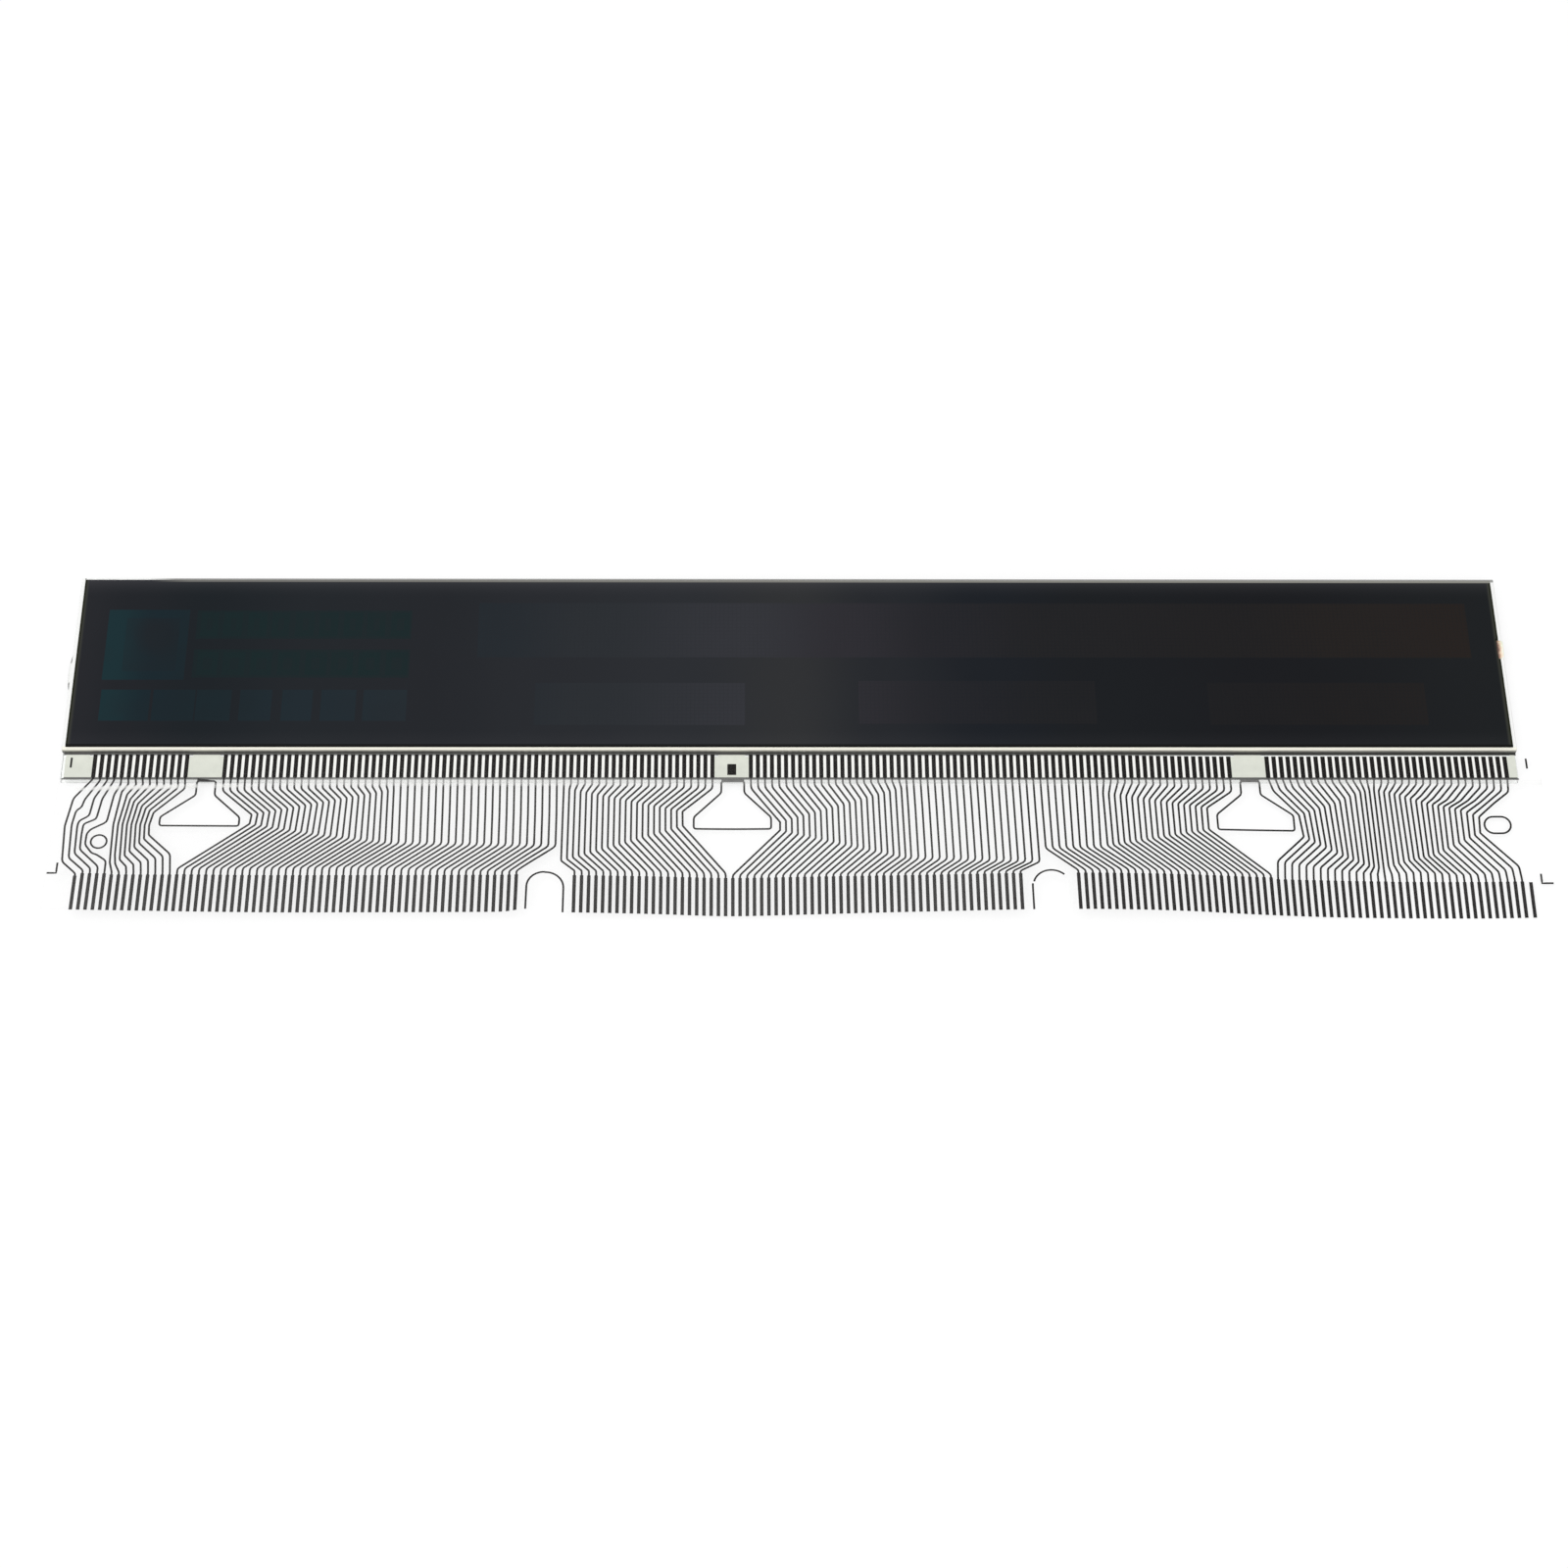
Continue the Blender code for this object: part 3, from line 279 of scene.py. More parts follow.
class TailSizes(bpy.types.PropertyGroup):
    """Sizes of the film and of what is printed on it."""

    film_thickness: FloatProperty(
        name="Film thickness",
        description="Thickness of the polyester film",
        default=0.0001,
        unit="LENGTH",
    )
    ink_height: FloatProperty(
        name="Ink height",
        description="Height of the printed lines under the film",
        default=0.000025,
        unit="LENGTH",
    )
    trace_width: FloatProperty(
        name="Trace width",
        description="Width of a conductor between its contact and its bar",
        default=0.00028,
        unit="LENGTH",
    )
    contact_width: FloatProperty(
        name="Contact width",
        description="Width of the contacts on the ledge",
        default=0.000575,
        unit="LENGTH",
    )
    bar_width: FloatProperty(
        name="Bar width",
        description="Width of the bars at the free edge",
        default=0.000495,
        unit="LENGTH",
    )
    guard_width: FloatProperty(
        name="Guard width",
        description="Width of the dark lines around the cuts",
        default=0.00027,
        unit="LENGTH",
    )
    guard_offset: FloatProperty(
        name="Guard offset",
        description="Edge of a cut to the middle of its guard line",
        default=0.0002,
        unit="LENGTH",
    )


class DisplayFinish(bpy.types.PropertyGroup):
    """Colours of the display and its tail."""

    cut_edge: FloatVectorProperty(
        name="Cut edge",
        description="Olive line along the cut ends of the polariser",
        default=(0.012, 0.014, 0.005),
        subtype="COLOR",
    )
    ink: FloatVectorProperty(
        name="Ink",
        description="Colour of the printed conductors",
        default=(0.004, 0.0028, 0.0028),
        subtype="COLOR",
    )
    film: FloatVectorProperty(
        name="Film",
        description="Tint of the clear film",
        default=(0.97, 0.97, 0.95),
        subtype="COLOR",
    )
    glass: FloatVectorProperty(
        name="Glass",
        description="Tint of the two glass plates",
        default=(0.965, 0.985, 0.965),
        subtype="COLOR",
    )
    rim: FloatVectorProperty(
        name="Rim",
        description="Colour of the bare rim of the front glass on its near side",
        default=(0.98, 0.96, 0.85),
        subtype="COLOR",
    )
    adhesive: FloatVectorProperty(
        name="Adhesive",
        description="Colour of the conductive adhesive on the ledge",
        default=(0.685, 0.705, 0.63),
        subtype="COLOR",
    )
    amber_glue: FloatVectorProperty(
        name="Amber glue",
        description="Colour of the plug in the fill port",
        default=(0.52, 0.33, 0.24),
        subtype="COLOR",
    )


class StudioSettings(bpy.types.PropertyGroup):
    """Light and floor."""

    sky_strength: FloatProperty(
        name="Sky strength",
        description="Light from all round",
        default=0.52,
        min=0.0,
    )
    lamp_power: FloatProperty(
        name="Lamp power",
        description="Power of the large soft lamp",
        default=15.0,
        min=0.0,
        unit="POWER",
    )
    floor_size: FloatProperty(
        name="Floor size",
        description="Side of the pale floor",
        default=6.0,
        unit="LENGTH",
    )


def set_faces(mesh, points, faces):
    """Puts points and faces, each an array of corner numbers with one width, into a mesh."""
    corners = np.concatenate([group.ravel() for group in faces]).astype(np.int32)
    sizes = np.concatenate([np.full(len(group), group.shape[1]) for group in faces])
    starts = np.concatenate(([0], np.cumsum(sizes)[:-1])).astype(np.int32)
    mesh.vertices.add(len(points))
    mesh.vertices.foreach_set("co", np.ascontiguousarray(points, np.float32).ravel())
    mesh.loops.add(len(corners))
    mesh.loops.foreach_set("vertex_index", corners)
    mesh.polygons.add(len(starts))
    mesh.polygons.foreach_set("loop_start", starts)
    mesh.update(calc_edges=True)
    mesh.validate()


def new_piece(name, points, faces, look, replaced=()):
    """Object from points in metres and arrays of faces, riding on the display."""
    mesh = bpy.data.meshes.new(name)
    set_faces(mesh, points, faces)
    mesh.shade_flat()
    mesh.materials.append(look)
    piece = bpy.data.objects.new(name, mesh)
    bpy.context.scene.collection.objects.link(piece)
    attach(piece, "root")
    if replaced:
        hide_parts(*replaced)
    return piece


def joined(parts):
    """Points in metres and faces of several parts, each a pair of points and faces."""
    points = np.concatenate([part[0] for part in parts])
    offsets = np.cumsum([0] + [len(part[0]) for part in parts[:-1]])
    faces = np.concatenate([part[1] + offset for part, offset in zip(parts, offsets)])
    return points * MM, [faces]


def row_places(first, counts, gap):
    """Places along a row of groups one step apart, with a wider gap between the groups."""
    starts = first + np.concatenate(([0.0], np.cumsum(np.array(counts[:-1]) - 1 + gap)))
    return np.concatenate([start + np.arange(count) for start, count in zip(starts, counts)])


def edge_height(x):
    """Height of the free edge: a cubic through even knots whose slopes are half the step between
    the neighbours."""
    steps = len(EDGE_HEIGHTS) - 1
    knots = np.array(EDGE_HEIGHTS)
    along = np.clip((x - TAIL_LEFT) / (TAIL_RIGHT - TAIL_LEFT) * steps, 0.0, steps)
    index = np.minimum(along.astype(int), steps - 1)
    share = along - index
    before, low, high, after = (knots[np.clip(index + step, 0, steps)] for step in (-1, 0, 1, 2))
    square = share**2
    cube = share**3
    return (
        low * (2 * cube - 3 * square + 1)
        + (high - before) / 2 * (cube - 2 * square + share)
        + high * (3 * square - 2 * cube)
        + (after - low) / 2 * (cube - square)
    )


def drape_height(x, y):
    """Height of the film's underside: level on the ledge, then straight down to the free edge's
    height. A small bell-shaped curl on the left of the first notch grows with the fourth power of
    the way down."""
    share = np.clip((BOND_END - y) / (BOND_END - FREE_EDGE), 0.0, 1.0)
    curl = CURL_HEIGHT * np.exp(-(((x - CURL_PLACE) / CURL_WIDTH) ** 2)) * share**4
    return FILM_Z + share * (edge_height(x) - FILM_Z) + curl * (x < NOTCH_CENTRES[0])


def smoothed(paths):
    """Paths whose inner stations have moved halfway to the mean of their neighbours."""
    inner = paths[:, 1:-1] / 2 + (paths[:, :-2] + paths[:, 2:]) / 4
    return np.concatenate((paths[:, :1], inner, paths[:, -1:]), axis=1)


def ribbon_parts(paths, widths, height, closed=False):
    """Points and faces of flat printed lines: a low rectangle carried along each path, square to
    the mean direction of the steps on both sides of a station, just under the film.

    paths is lines x stations x 2, and widths is one width or lines x stations of them."""
    lines, stations, _ = paths.shape
    widths = np.broadcast_to(widths, (lines, stations))
    if closed:
        way = np.roll(paths, -1, axis=1) - np.roll(paths, 1, axis=1)
    else:
        before = np.concatenate((paths[:, :1], paths[:, :-1]), axis=1)
        way = np.concatenate((paths[:, 1:], paths[:, -1:]), axis=1) - before
    way = way / np.maximum(np.linalg.norm(way, axis=2, keepdims=True), 1e-9)
    side = np.stack((way[..., 1], -way[..., 0]), axis=2) * widths[..., None] / 2
    left = paths - side
    right = paths + side
    corners = np.stack((left, right, right, left), axis=2)
    top = drape_height(corners[..., 0], corners[..., 1]) - INK_CLEARANCE
    drop = np.array((0.0, 0.0, 1.0, 1.0)) * height
    points = np.concatenate((corners, (top - drop)[..., None]), axis=3)
    numbers = np.arange(lines * stations * 4).reshape(lines, stations, 4)
    turned = np.roll(numbers, -1, axis=2)
    sides = (numbers, turned, np.roll(turned, -1, axis=1), np.roll(numbers, -1, axis=1))
    quads = np.stack(sides, axis=3)
    if closed:
        return points.reshape(-1, 3), quads.reshape(-1, 4)
    ends = (numbers[:, 0, ::-1], numbers[:, -1])
    return points.reshape(-1, 3), np.concatenate((quads[:, :-1].reshape(-1, 4), *ends))


def upright_run(x, low, high, count):
    """Stations from a low to a high place, one row for each x. The places may differ by row."""
    y = low + (high - low) * np.linspace(0.0, 1.0, count)[None]
    return np.stack(np.broadcast_arrays(x[:, None], y), axis=2)


def conductor_parts(sizes):
    """Every conductor: its contact on the ledge, then a line whose turns go in even steps between
    the numbered ones of its fan, then its bar. Turns are rounded by averaging."""
    contacts = row_places(FIRST_CONTACT, CONTACT_COUNTS, CONTACT_GAP)
    bars = row_places(FIRST_BAR, BAR_COUNTS, BAR_GAP)
    stretched = (bars - STRETCH_START) / (bars[-1] - STRETCH_START)
    bars = bars + STRETCH * np.clip(stretched, 0.0, 1.0)
    height = sizes.ink_height / MM
    parts = []
    for fan in FANS:
        numbers = np.arange(fan[0][0], fan[-1][0] + 1)
        table = np.array([turns for _, turns in fan])
        place = np.interp(numbers, [number for number, _ in fan], np.arange(len(fan)))
        low = np.floor(place).astype(int)
        share = (place - low)[:, None, None]
        turns = table[low] * (1 - share) + table[np.minimum(low + 1, len(fan) - 1)] * share
        contact_x = contacts[numbers]
        bar_x = bars[numbers]
        start = np.stack((contact_x, np.full(len(numbers), BOND_END - 0.12)), axis=1)[:, None]
        bar_y = np.minimum(turns[:, -1, 1] - 0.35, BAR_TOP)
        turns[:, -1, 0] = bar_x
        finish = np.stack((bar_x, bar_y), axis=1)[:, None]
        route = np.concatenate((start, turns, finish), axis=1)
        spans = np.linalg.norm(np.diff(route, axis=1), axis=2).max(axis=0)
        line = []
        for step, span in enumerate(spans):
            cells = max(2, int(math.ceil(span / 0.42)))
            along = np.linspace(0.0, 1.0, cells + 1)[:-1][None, :, None]
            line.append(route[:, step, None] * (1 - along) + route[:, step + 1, None] * along)
        line = smoothed(np.concatenate(line + [route[:, -1:]], axis=1))
        shorter = np.clip((contact_x - SHORTER_FROM) / (SHORTER_TO - SHORTER_FROM), 0.0, 1.0)
        shorter = shorter[:, None]
        head = upright_run(contact_x, CONTACT_TOP - CONTACT_SHORTER * shorter, CONTACT_END, 4)
        foot = upright_run(bar_x, bar_y[:, None] - 0.06, FREE_EDGE, 7)
        paths = np.concatenate((head, head[:, -1:] - (0.0, 0.04), line, foot), axis=1)
        widths = np.full(paths.shape[:2], sizes.trace_width / MM)
        widths[:, : head.shape[1]] = sizes.contact_width / MM * (1 + CONTACT_WIDER * shorter)
        widths[:, -foot.shape[1] :] = sizes.bar_width / MM
        parts.append(ribbon_parts(paths, widths, height))
    spare = upright_run(bars[-1:] + SPARE_SHIFT, SPARE_TOP, FREE_EDGE, 7)
    parts.append(ribbon_parts(spare, sizes.bar_width / MM, height))
    return joined(parts)


def along_path(points, step, closed=False):
    """Stations about a step apart along straight runs between points, as one path."""
    points = np.array(points, float)
    if closed:
        points = np.concatenate((points, points[:1]))
    stations = []
    for here, there in zip(points[:-1], points[1:]):
        cells = max(1, int(round(np.linalg.norm(there - here) / step)))
        share = np.linspace(0.0, 1.0, cells + 1)[:-1, None]
        stations.append(here * (1 - share) + there * share)
    if not closed:
        stations.append(points[-1:])
    return np.concatenate(stations)[None]


def rounded(corners, radius, steps=4):
    """Corners of a closed outline, each cut back by a radius and rounded on a parabola: the corner
    counts with twice the product of the shares of its two ends."""
    corners = np.array(corners, float)
    before = np.roll(corners, 1, axis=0) - corners
    after = np.roll(corners, -1, axis=0) - corners
    start = corners + before / np.linalg.norm(before, axis=1, keepdims=True) * radius
    end = corners + after / np.linalg.norm(after, axis=1, keepdims=True) * radius
    share = np.linspace(0.0, 1.0, steps + 1)[None, :, None]
    curve = start[:, None] * (1 - share) ** 2 + end[:, None] * share**2
    curve = curve + corners[:, None] * 2 * share * (1 - share)
    return curve.reshape(-1, 2)


def window_corners(window, inset):
    """Corners of a window's guard line moved inwards, anticlockwise from the top left."""
    neck_left, neck_right, foot_left, foot_right, neck_end, shoulder, foot = window
    depths = (WINDOW_TOP - inset, neck_end - inset * 0.4, shoulder - inset * 0.4, foot + inset)
    left = np.array((neck_left, neck_left, foot_left, foot_left)) + inset
    right = np.array((neck_right, neck_right, foot_right, foot_right)) - inset
    left, right = (np.stack((side, depths), axis=1) for side in (left, right))
    return np.concatenate((left, right[::-1]))


def ring(turn):
    """Points on the unit circle at an array of angles."""
    return np.stack((np.cos(turn), np.sin(turn)), axis=1)


def guard_parts(sizes):
    """Dark lines around the windows, the hole, the slot and the notches, the marks, and painted
    shadows at the tops of the windows' necks.
    """
    grow = sizes.guard_offset / MM
    width = sizes.guard_width / MM
    height = sizes.ink_height / MM
    circle = ring(np.linspace(0.0, math.tau, 49)[:-1])
    shift = np.sign(np.round(circle[:, :1], 6)) * (SLOT_REACH, 0.0)
    loops = [rounded(window_corners(window, 0.0), WINDOW_FILLET) for window in WINDOWS]
    loops.append(np.array(HOLE_CENTRE) + circle * (HOLE_RADIUS + grow))
    loops.append(np.array(SLOT_CENTRE) + circle * (SLOT_RADIUS + grow) + shift)
    parts = [ribbon_parts(along_path(loop, 0.5, True), width, height, True) for loop in loops]

    crown = ring(np.linspace(math.pi, 0.0, 25)) * (NOTCH_RADIUS + grow)
    left_bend, right_bend = (crown + (centre, NOTCH_ARC_Y) for centre in NOTCH_CENTRES)
    feet = ((left_bend, 0), (left_bend, -1), (right_bend, 0))
    legs = [(bend[end, 0], FREE_EDGE) for bend, end in feet]
    lines = [
        (np.concatenate((legs[:1], left_bend, legs[1:2])), 0.5),
        (np.concatenate((legs[2:], right_bend[:2])) + (-0.12, 0.0), 0.5),
        (right_bend[2:19], 0.5),
    ]
    lines += [(line, 0.4) for line in CORNERS + DASHES]
    parts += [ribbon_parts(along_path(line, step), width, height) for line, step in lines]

    # Painted shadow: wedges of ink along the top of each window's neck, where the film's cut edge
    # shades the ledge.
    for window, (left, right) in zip(WINDOWS, NECK_SHADES):
        ends = ((window[0], WINDOW_TOP + left / 3), (window[1], WINDOW_TOP + right / 3))
        path = along_path(ends, 0.4)
        share = np.linspace(0.0, 1.0, path.shape[1])[None]
        parts.append(ribbon_parts(path, left * (1 - share) + right * share, height))
    parts.append(ribbon_parts(along_path(CENTRE_PAD, 0.45), CENTRE_PAD_WIDTH, height))
    return joined(parts)


def half_round(y, middle_y, radius, reach):
    """Half width of a round-ended cut at a height: its reach plus the half chord of its circle."""
    return reach + np.sqrt(np.maximum(radius**2 - (y - middle_y) ** 2, 0.0))


def window_cut(window, rows, inset):
    """Middle, left side and right side of a window's cut at each row, along its rounded outline."""
    corners = window_corners(window, inset)
    outline = rounded(corners, WINDOW_FILLET)
    middle = (window[0] + window[1]) / 2
    inside = (rows <= corners[0, 1] + 1e-6) & (rows >= corners[3, 1] - 1e-6)
    sides = []
    for part in (outline[outline[:, 0] < middle], outline[outline[:, 0] > middle]):
        part = part[np.argsort(part[:, 1])]
        sides.append(np.where(inside, np.interp(rows, part[:, 1], part[:, 0]), middle))
    return middle, *sides


def round_cut(rows, centre, radius, reach):
    """Middle, left side and right side of a round-ended cut at each row."""
    inside = np.abs(rows - centre[1]) <= radius + 1e-6
    half = np.where(inside, half_round(rows, centre[1], radius, reach), 0.0)
    return centre[0], centre[0] - half, centre[0] + half


def film_rows(inset):
    """Heights of the rows of points, top to bottom: even ones, and closer ones where a cut turns.
    A row lies just outside each straight end of a window, so that the end comes out straight."""
    turn = np.cos(np.linspace(0.0, math.pi, 15))
    rows = [
        np.linspace(TAIL_TOP, FREE_EDGE, 33),
        HOLE_CENTRE[1] + HOLE_RADIUS * turn,
        SLOT_CENTRE[1] + SLOT_RADIUS * turn,
        NOTCH_ARC_Y + NOTCH_RADIUS * turn[:8],
        np.array((BOND_END,)),
    ]
    end = np.array((-0.02, 0.0, 0.12, 0.4))
    bend = np.array((-0.25, 0.0, 0.25))
    for window in WINDOWS:
        top, neck_end, shoulder, foot = window_corners(window, inset)[:4, 1]
        rows += [top - end, neck_end + bend, shoulder + bend, foot + end]
    rows = np.sort(np.concatenate(rows))[::-1]
    keep = np.concatenate(([True], np.diff(rows) < -0.004))
    return rows[keep]


def film_parts(inset):
    """Points and faces of the draped film, as strips between the middles of the cuts: across a
    strip, x goes in even steps from the right side of one cut to the left side of the next, and y
    is the row's. A cut has no width above and below itself, where two strips meet."""
    rows = film_rows(inset)
    cuts = [window_cut(window, rows, inset) for window in WINDOWS]
    cuts.append(round_cut(rows, HOLE_CENTRE, HOLE_RADIUS, 0.0))
    cuts.append(round_cut(rows, SLOT_CENTRE, SLOT_RADIUS, SLOT_REACH))
    for centre in NOTCH_CENTRES:
        half = half_round(np.maximum(rows, NOTCH_ARC_Y), NOTCH_ARC_Y, NOTCH_RADIUS, 0.0)
        cuts.append((centre, centre - half, centre + half))
    for edge in (TAIL_LEFT, TAIL_RIGHT):
        level = np.full_like(rows, edge)
        cuts.append((edge, level, level))
    cuts.sort(key=lambda cut: cut[0])
    parts = []
    for (middle, _, left), (next_middle, right, _) in zip(cuts[:-1], cuts[1:]):
        columns = max(4, int(round((next_middle - middle) / 1.15)))
        share = np.linspace(0.0, 1.0, columns + 1)[None]
        x = left[:, None] * (1 - share) + right[:, None] * share
        y = np.broadcast_to(rows[:, None], x.shape)
        points = np.stack((x, y, drape_height(x, y)), axis=2).reshape(-1, 3)
        grid = np.arange(x.size).reshape(x.shape)
        quads = np.stack((grid[:-1, :-1], grid[1:, :-1], grid[1:, 1:], grid[:-1, 1:]), axis=2)
        parts.append((points, quads.reshape(-1, 4)))
    return joined(parts)


def bead_parts(side, middle_y, length, bulge, laps):
    """Points and faces of a bead of glue on the end of the glass: a section that swells with the
    square root of one minus the square of the way along, closed at both ends. One that laps also
    covers a strip of the front face."""
    edge = FRONT_HIGH.x / MM + 0.01
    foot = REAR_LOW.z / MM + 0.5
    crown = FRONT_HIGH.z / MM + 0.01
    along = np.sin(np.linspace(-1.0, 1.0, 33) * math.pi / 2 * 0.985)
    swell = np.sqrt(np.maximum(1 - along**2, 0.0))[:, None]
    turn = np.linspace(-math.pi / 2, math.pi / 2, 15)[None]
    top = crown if laps else crown - 0.25
    middle = (foot + top) / 2
    x = edge + bulge * swell * np.cos(turn) ** 0.8
    z = middle + (top - middle) * np.sin(turn) + 0 * x
    if laps:
        rise = LAP_RISE * swell
        back = edge - LAP_REACH * (0.7 + 0.3 * swell)
        over = np.linspace(0.0, 1.0, 9)[None]
        lap_x = edge + (back - edge) * over
        lap_z = crown + rise * np.sqrt(np.maximum(1 - (over * 0.98) ** 4, 0.0))
        z = z + rise * ((1 + np.sin(turn)) / 2) ** 3
        x = np.concatenate((x, lap_x[:, 1:], np.full_like(back, edge)), axis=1)
        z = np.concatenate((z, lap_z[:, 1:], np.full_like(back, crown)), axis=1)
    y = np.broadcast_to(middle_y + along[:, None] * length / 2, x.shape)
    points = np.stack((side * x, y, z), axis=2).reshape(-1, 3) * MM
    numbers = np.arange(x.size).reshape(x.shape)
    turned = np.roll(numbers, -1, axis=1)
    quads = np.stack((numbers[:-1], turned[:-1], turned[1:], numbers[1:]), axis=2).reshape(-1, 4)
    faces = [quads, numbers[:1, ::-1], numbers[-1:]]
    return points, [group[:, ::-1] if side > 0 else group for group in faces]


def linear(red, green, blue):
    """Linear colour of a screen colour from 0 to 255: the usual power curve, part by part."""
    parts = np.array((red, green, blue)) / 255
    curve = np.where(parts <= 0.04045, parts / 12.92, ((parts + 0.055) / 1.055) ** 2.4)
    return tuple(float(part) for part in curve)


def under_gloss(red, green, blue):
    """Linear colour of a screen colour less the light that the gloss adds to it."""
    return tuple(max(part - GLOSS, 0.0) for part in linear(red, green, blue))


class Look:
    """Node tree of a material, with short ways to add nodes and wire them."""

    def __init__(self, name):
        self.material = bpy.data.materials.new(name)
        self.material.use_nodes = True
        self.tree = self.material.node_tree
        self.tree.nodes.clear()
        self.output = self.add("ShaderNodeOutputMaterial")
        self.point = self.add("ShaderNodeTexCoord").outputs["Object"]

    def add(self, kind, inputs=None, **settings):
        """Node of a kind, with its settings, and its inputs set or wired by name or number."""
        node = self.tree.nodes.new(kind)
        for key, value in settings.items():
            setattr(node, key, value)
        for key, value in (inputs or {}).items():
            self.put(node.inputs[key], value)
        return node

    def put(self, socket, value):
        """Wires an output to a socket, or sets the socket's own value."""
        if isinstance(value, bpy.types.NodeSocket):
            self.tree.links.new(value, socket)
        elif isinstance(value, (tuple, list)) and socket.type == "RGBA" and len(value) == 3:
            socket.default_value = (*value, 1.0)
        else:
            socket.default_value = value

    def place(self):
        """X, Y and Z of the point on the part, in millimetres."""
        return self.add("ShaderNodeSeparateXYZ", {0: self.scaled(self.point, 1 / MM)}).outputs

    def scaled(self, value, scale):
        """Vector or colour times a scale."""
        inputs = {0: value, "Scale": scale}
        return self.add("ShaderNodeVectorMath", inputs, operation="SCALE").outputs[0]

    def normal(self):
        """X, Y and Z of the direction in which the face looks."""
        shape = self.add("ShaderNodeNewGeometry")
        return self.add("ShaderNodeSeparateXYZ", {0: shape.outputs["True Normal"]}).outputs

    def math(self, operation, *values):
        """Result of a Math node."""
        return self.add("ShaderNodeMath", dict(enumerate(values)), operation=operation).outputs[0]

    def size(self, value):
        """Value without its sign."""
        return self.math("ABSOLUTE", value)

    def times(self, first, *others):
        """Product of several values."""
        for value in others:
            first = self.math("MULTIPLY", first, value)
        return first

    def most(self, first, *others):
        """Highest of several values."""
        for value in others:
            first = self.math("MAXIMUM", first, value)
        return first

    def within(self, value, middle, half):
        """One where a value is within half of a middle, else nothing."""
        return self.math("COMPARE", value, middle, half)

    def area(self, x, y, middle_x, middle_y, half_x, half_y):
        """One inside an upright rectangle, else nothing."""
        return self.times(self.within(x, middle_x, half_x), self.within(y, middle_y, half_y))

    def ranged(self, value, from_low, from_high, to_low=0.0, to_high=1.0):
        """Value moved from one range to another and held inside it."""
        inputs = dict(enumerate((value, from_low, from_high, to_low, to_high)))
        return self.add("ShaderNodeMapRange", inputs).outputs[0]

    def noise(self, scale, detail=2.0, stretch=(1.0, 1.0, 1.0)):
        """Noise over the part, stretched along its axes."""
        mapping = self.add("ShaderNodeMapping", {"Vector": self.point, "Scale": stretch})
        inputs = {"Vector": mapping.outputs[0], "Scale": scale, "Detail": detail}
        return self.add("ShaderNodeTexNoise", inputs).outputs[0]

    def cloud(self, scale, detail=3.0, to_low=0.0, to_high=1.0):
        """The middle of the noise moved to a range."""
        return self.ranged(self.noise(scale, detail), 0.3, 0.7, to_low, to_high)

    def mix(self, share, first, second):
        """Colour between two colours."""
        inputs = {0: share, 6: first, 7: second}
        return self.add("ShaderNodeMix", inputs, data_type="RGBA").outputs[2]

    def clouded(self, colour, scale, darker, lighter):
        """Colour that goes from a darker to a lighter shade of itself with noise."""
        base = Vector(colour)
        return self.mix(self.cloud(scale), tuple(base * darker), tuple(base * lighter))

    def toned(self, value, low, high, stops, interpolation="EASE"):
        """Colour that follows a value through stops, each a place and a linear colour."""
        ramp = self.add("ShaderNodeValToRGB", {0: self.ranged(value, low, high)})
        ramp.color_ramp.interpolation = interpolation
        elements = ramp.color_ramp.elements
        for element, (place, colour) in zip(elements, (stops[0], stops[-1])):
            element.position = (place - low) / (high - low)
            element.color = (*colour, 1.0)
        for place, colour in stops[1:-1]:
            elements.new((place - low) / (high - low)).color = (*colour, 1.0)
        return ramp.outputs[0]

    def spans(self, value, low, high, spans):
        """White inside spans of a value and black outside, with sharp steps."""
        ramp = self.add("ShaderNodeValToRGB", {0: self.ranged(value, low, high)})
        ramp.color_ramp.interpolation = "CONSTANT"
        elements = ramp.color_ramp.elements
        elements[0].color = (0.0, 0.0, 0.0, 1.0)
        elements.remove(elements[1])
        for start, end in spans:
            elements.new((start - low) / (high - low)).color = (1.0, 1.0, 1.0, 1.0)
            elements.new((end - low) / (high - low)).color = (0.0, 0.0, 0.0, 1.0)
        return ramp.outputs[0]

    def shader(self, colour, roughness, others=None):
        """Principled surface."""
        inputs = {"Base Color": colour, "Roughness": roughness, **(others or {})}
        return self.add("ShaderNodeBsdfPrincipled", inputs).outputs[0]

    def clear(self):
        """Surface that isn't there."""
        return self.add("ShaderNodeBsdfTransparent").outputs[0]

    def blend(self, share, first, second):
        """Surface between two surfaces."""
        return self.add("ShaderNodeMixShader", {0: share, 1: first, 2: second}).outputs[0]

    def shown(self, surface):
        """Material with a surface wired to its output."""
        self.tree.links.new(surface, self.output.inputs["Surface"])
        return self.material

    def finished(self, colour, roughness, grain, others=None):
        """Material with a fine unevenness: the scale, strength and height in metres of its bump."""
        scale, strength, distance = grain
        inputs = {"Height": self.noise(scale, 3.0), "Strength": strength, "Distance": distance}
        bump = self.add("ShaderNodeBump", inputs).outputs[0]
        return self.shown(self.shader(colour, roughness, {"Normal": bump, **(others or {})}))


def icon_weight(look, x, y):
    """Square field with a darker middle and a round dark form in it."""
    middle_x, middle_y, half_x, half_y = ICON_FIELD
    whole = look.area(x, y, middle_x, middle_y, half_x, half_y)
    inner = look.area(x, y, middle_x + 0.7, middle_y, half_x - 2.0, half_y - 1.5)
    spot = look.add("ShaderNodeCombineXYZ", {0: x, 1: y}).outputs[0]
    away = look.add("ShaderNodeVectorMath", {0: spot, 1: ICON_DISC}, operation="DISTANCE")
    disc = look.ranged(away.outputs["Value"], 1.8, 3.9, 0.40, 0.0)
    dark = look.times(inner, look.math("ADD", disc, 0.30))
    return look.most(look.math("SUBTRACT", whole, dark), 0.0)


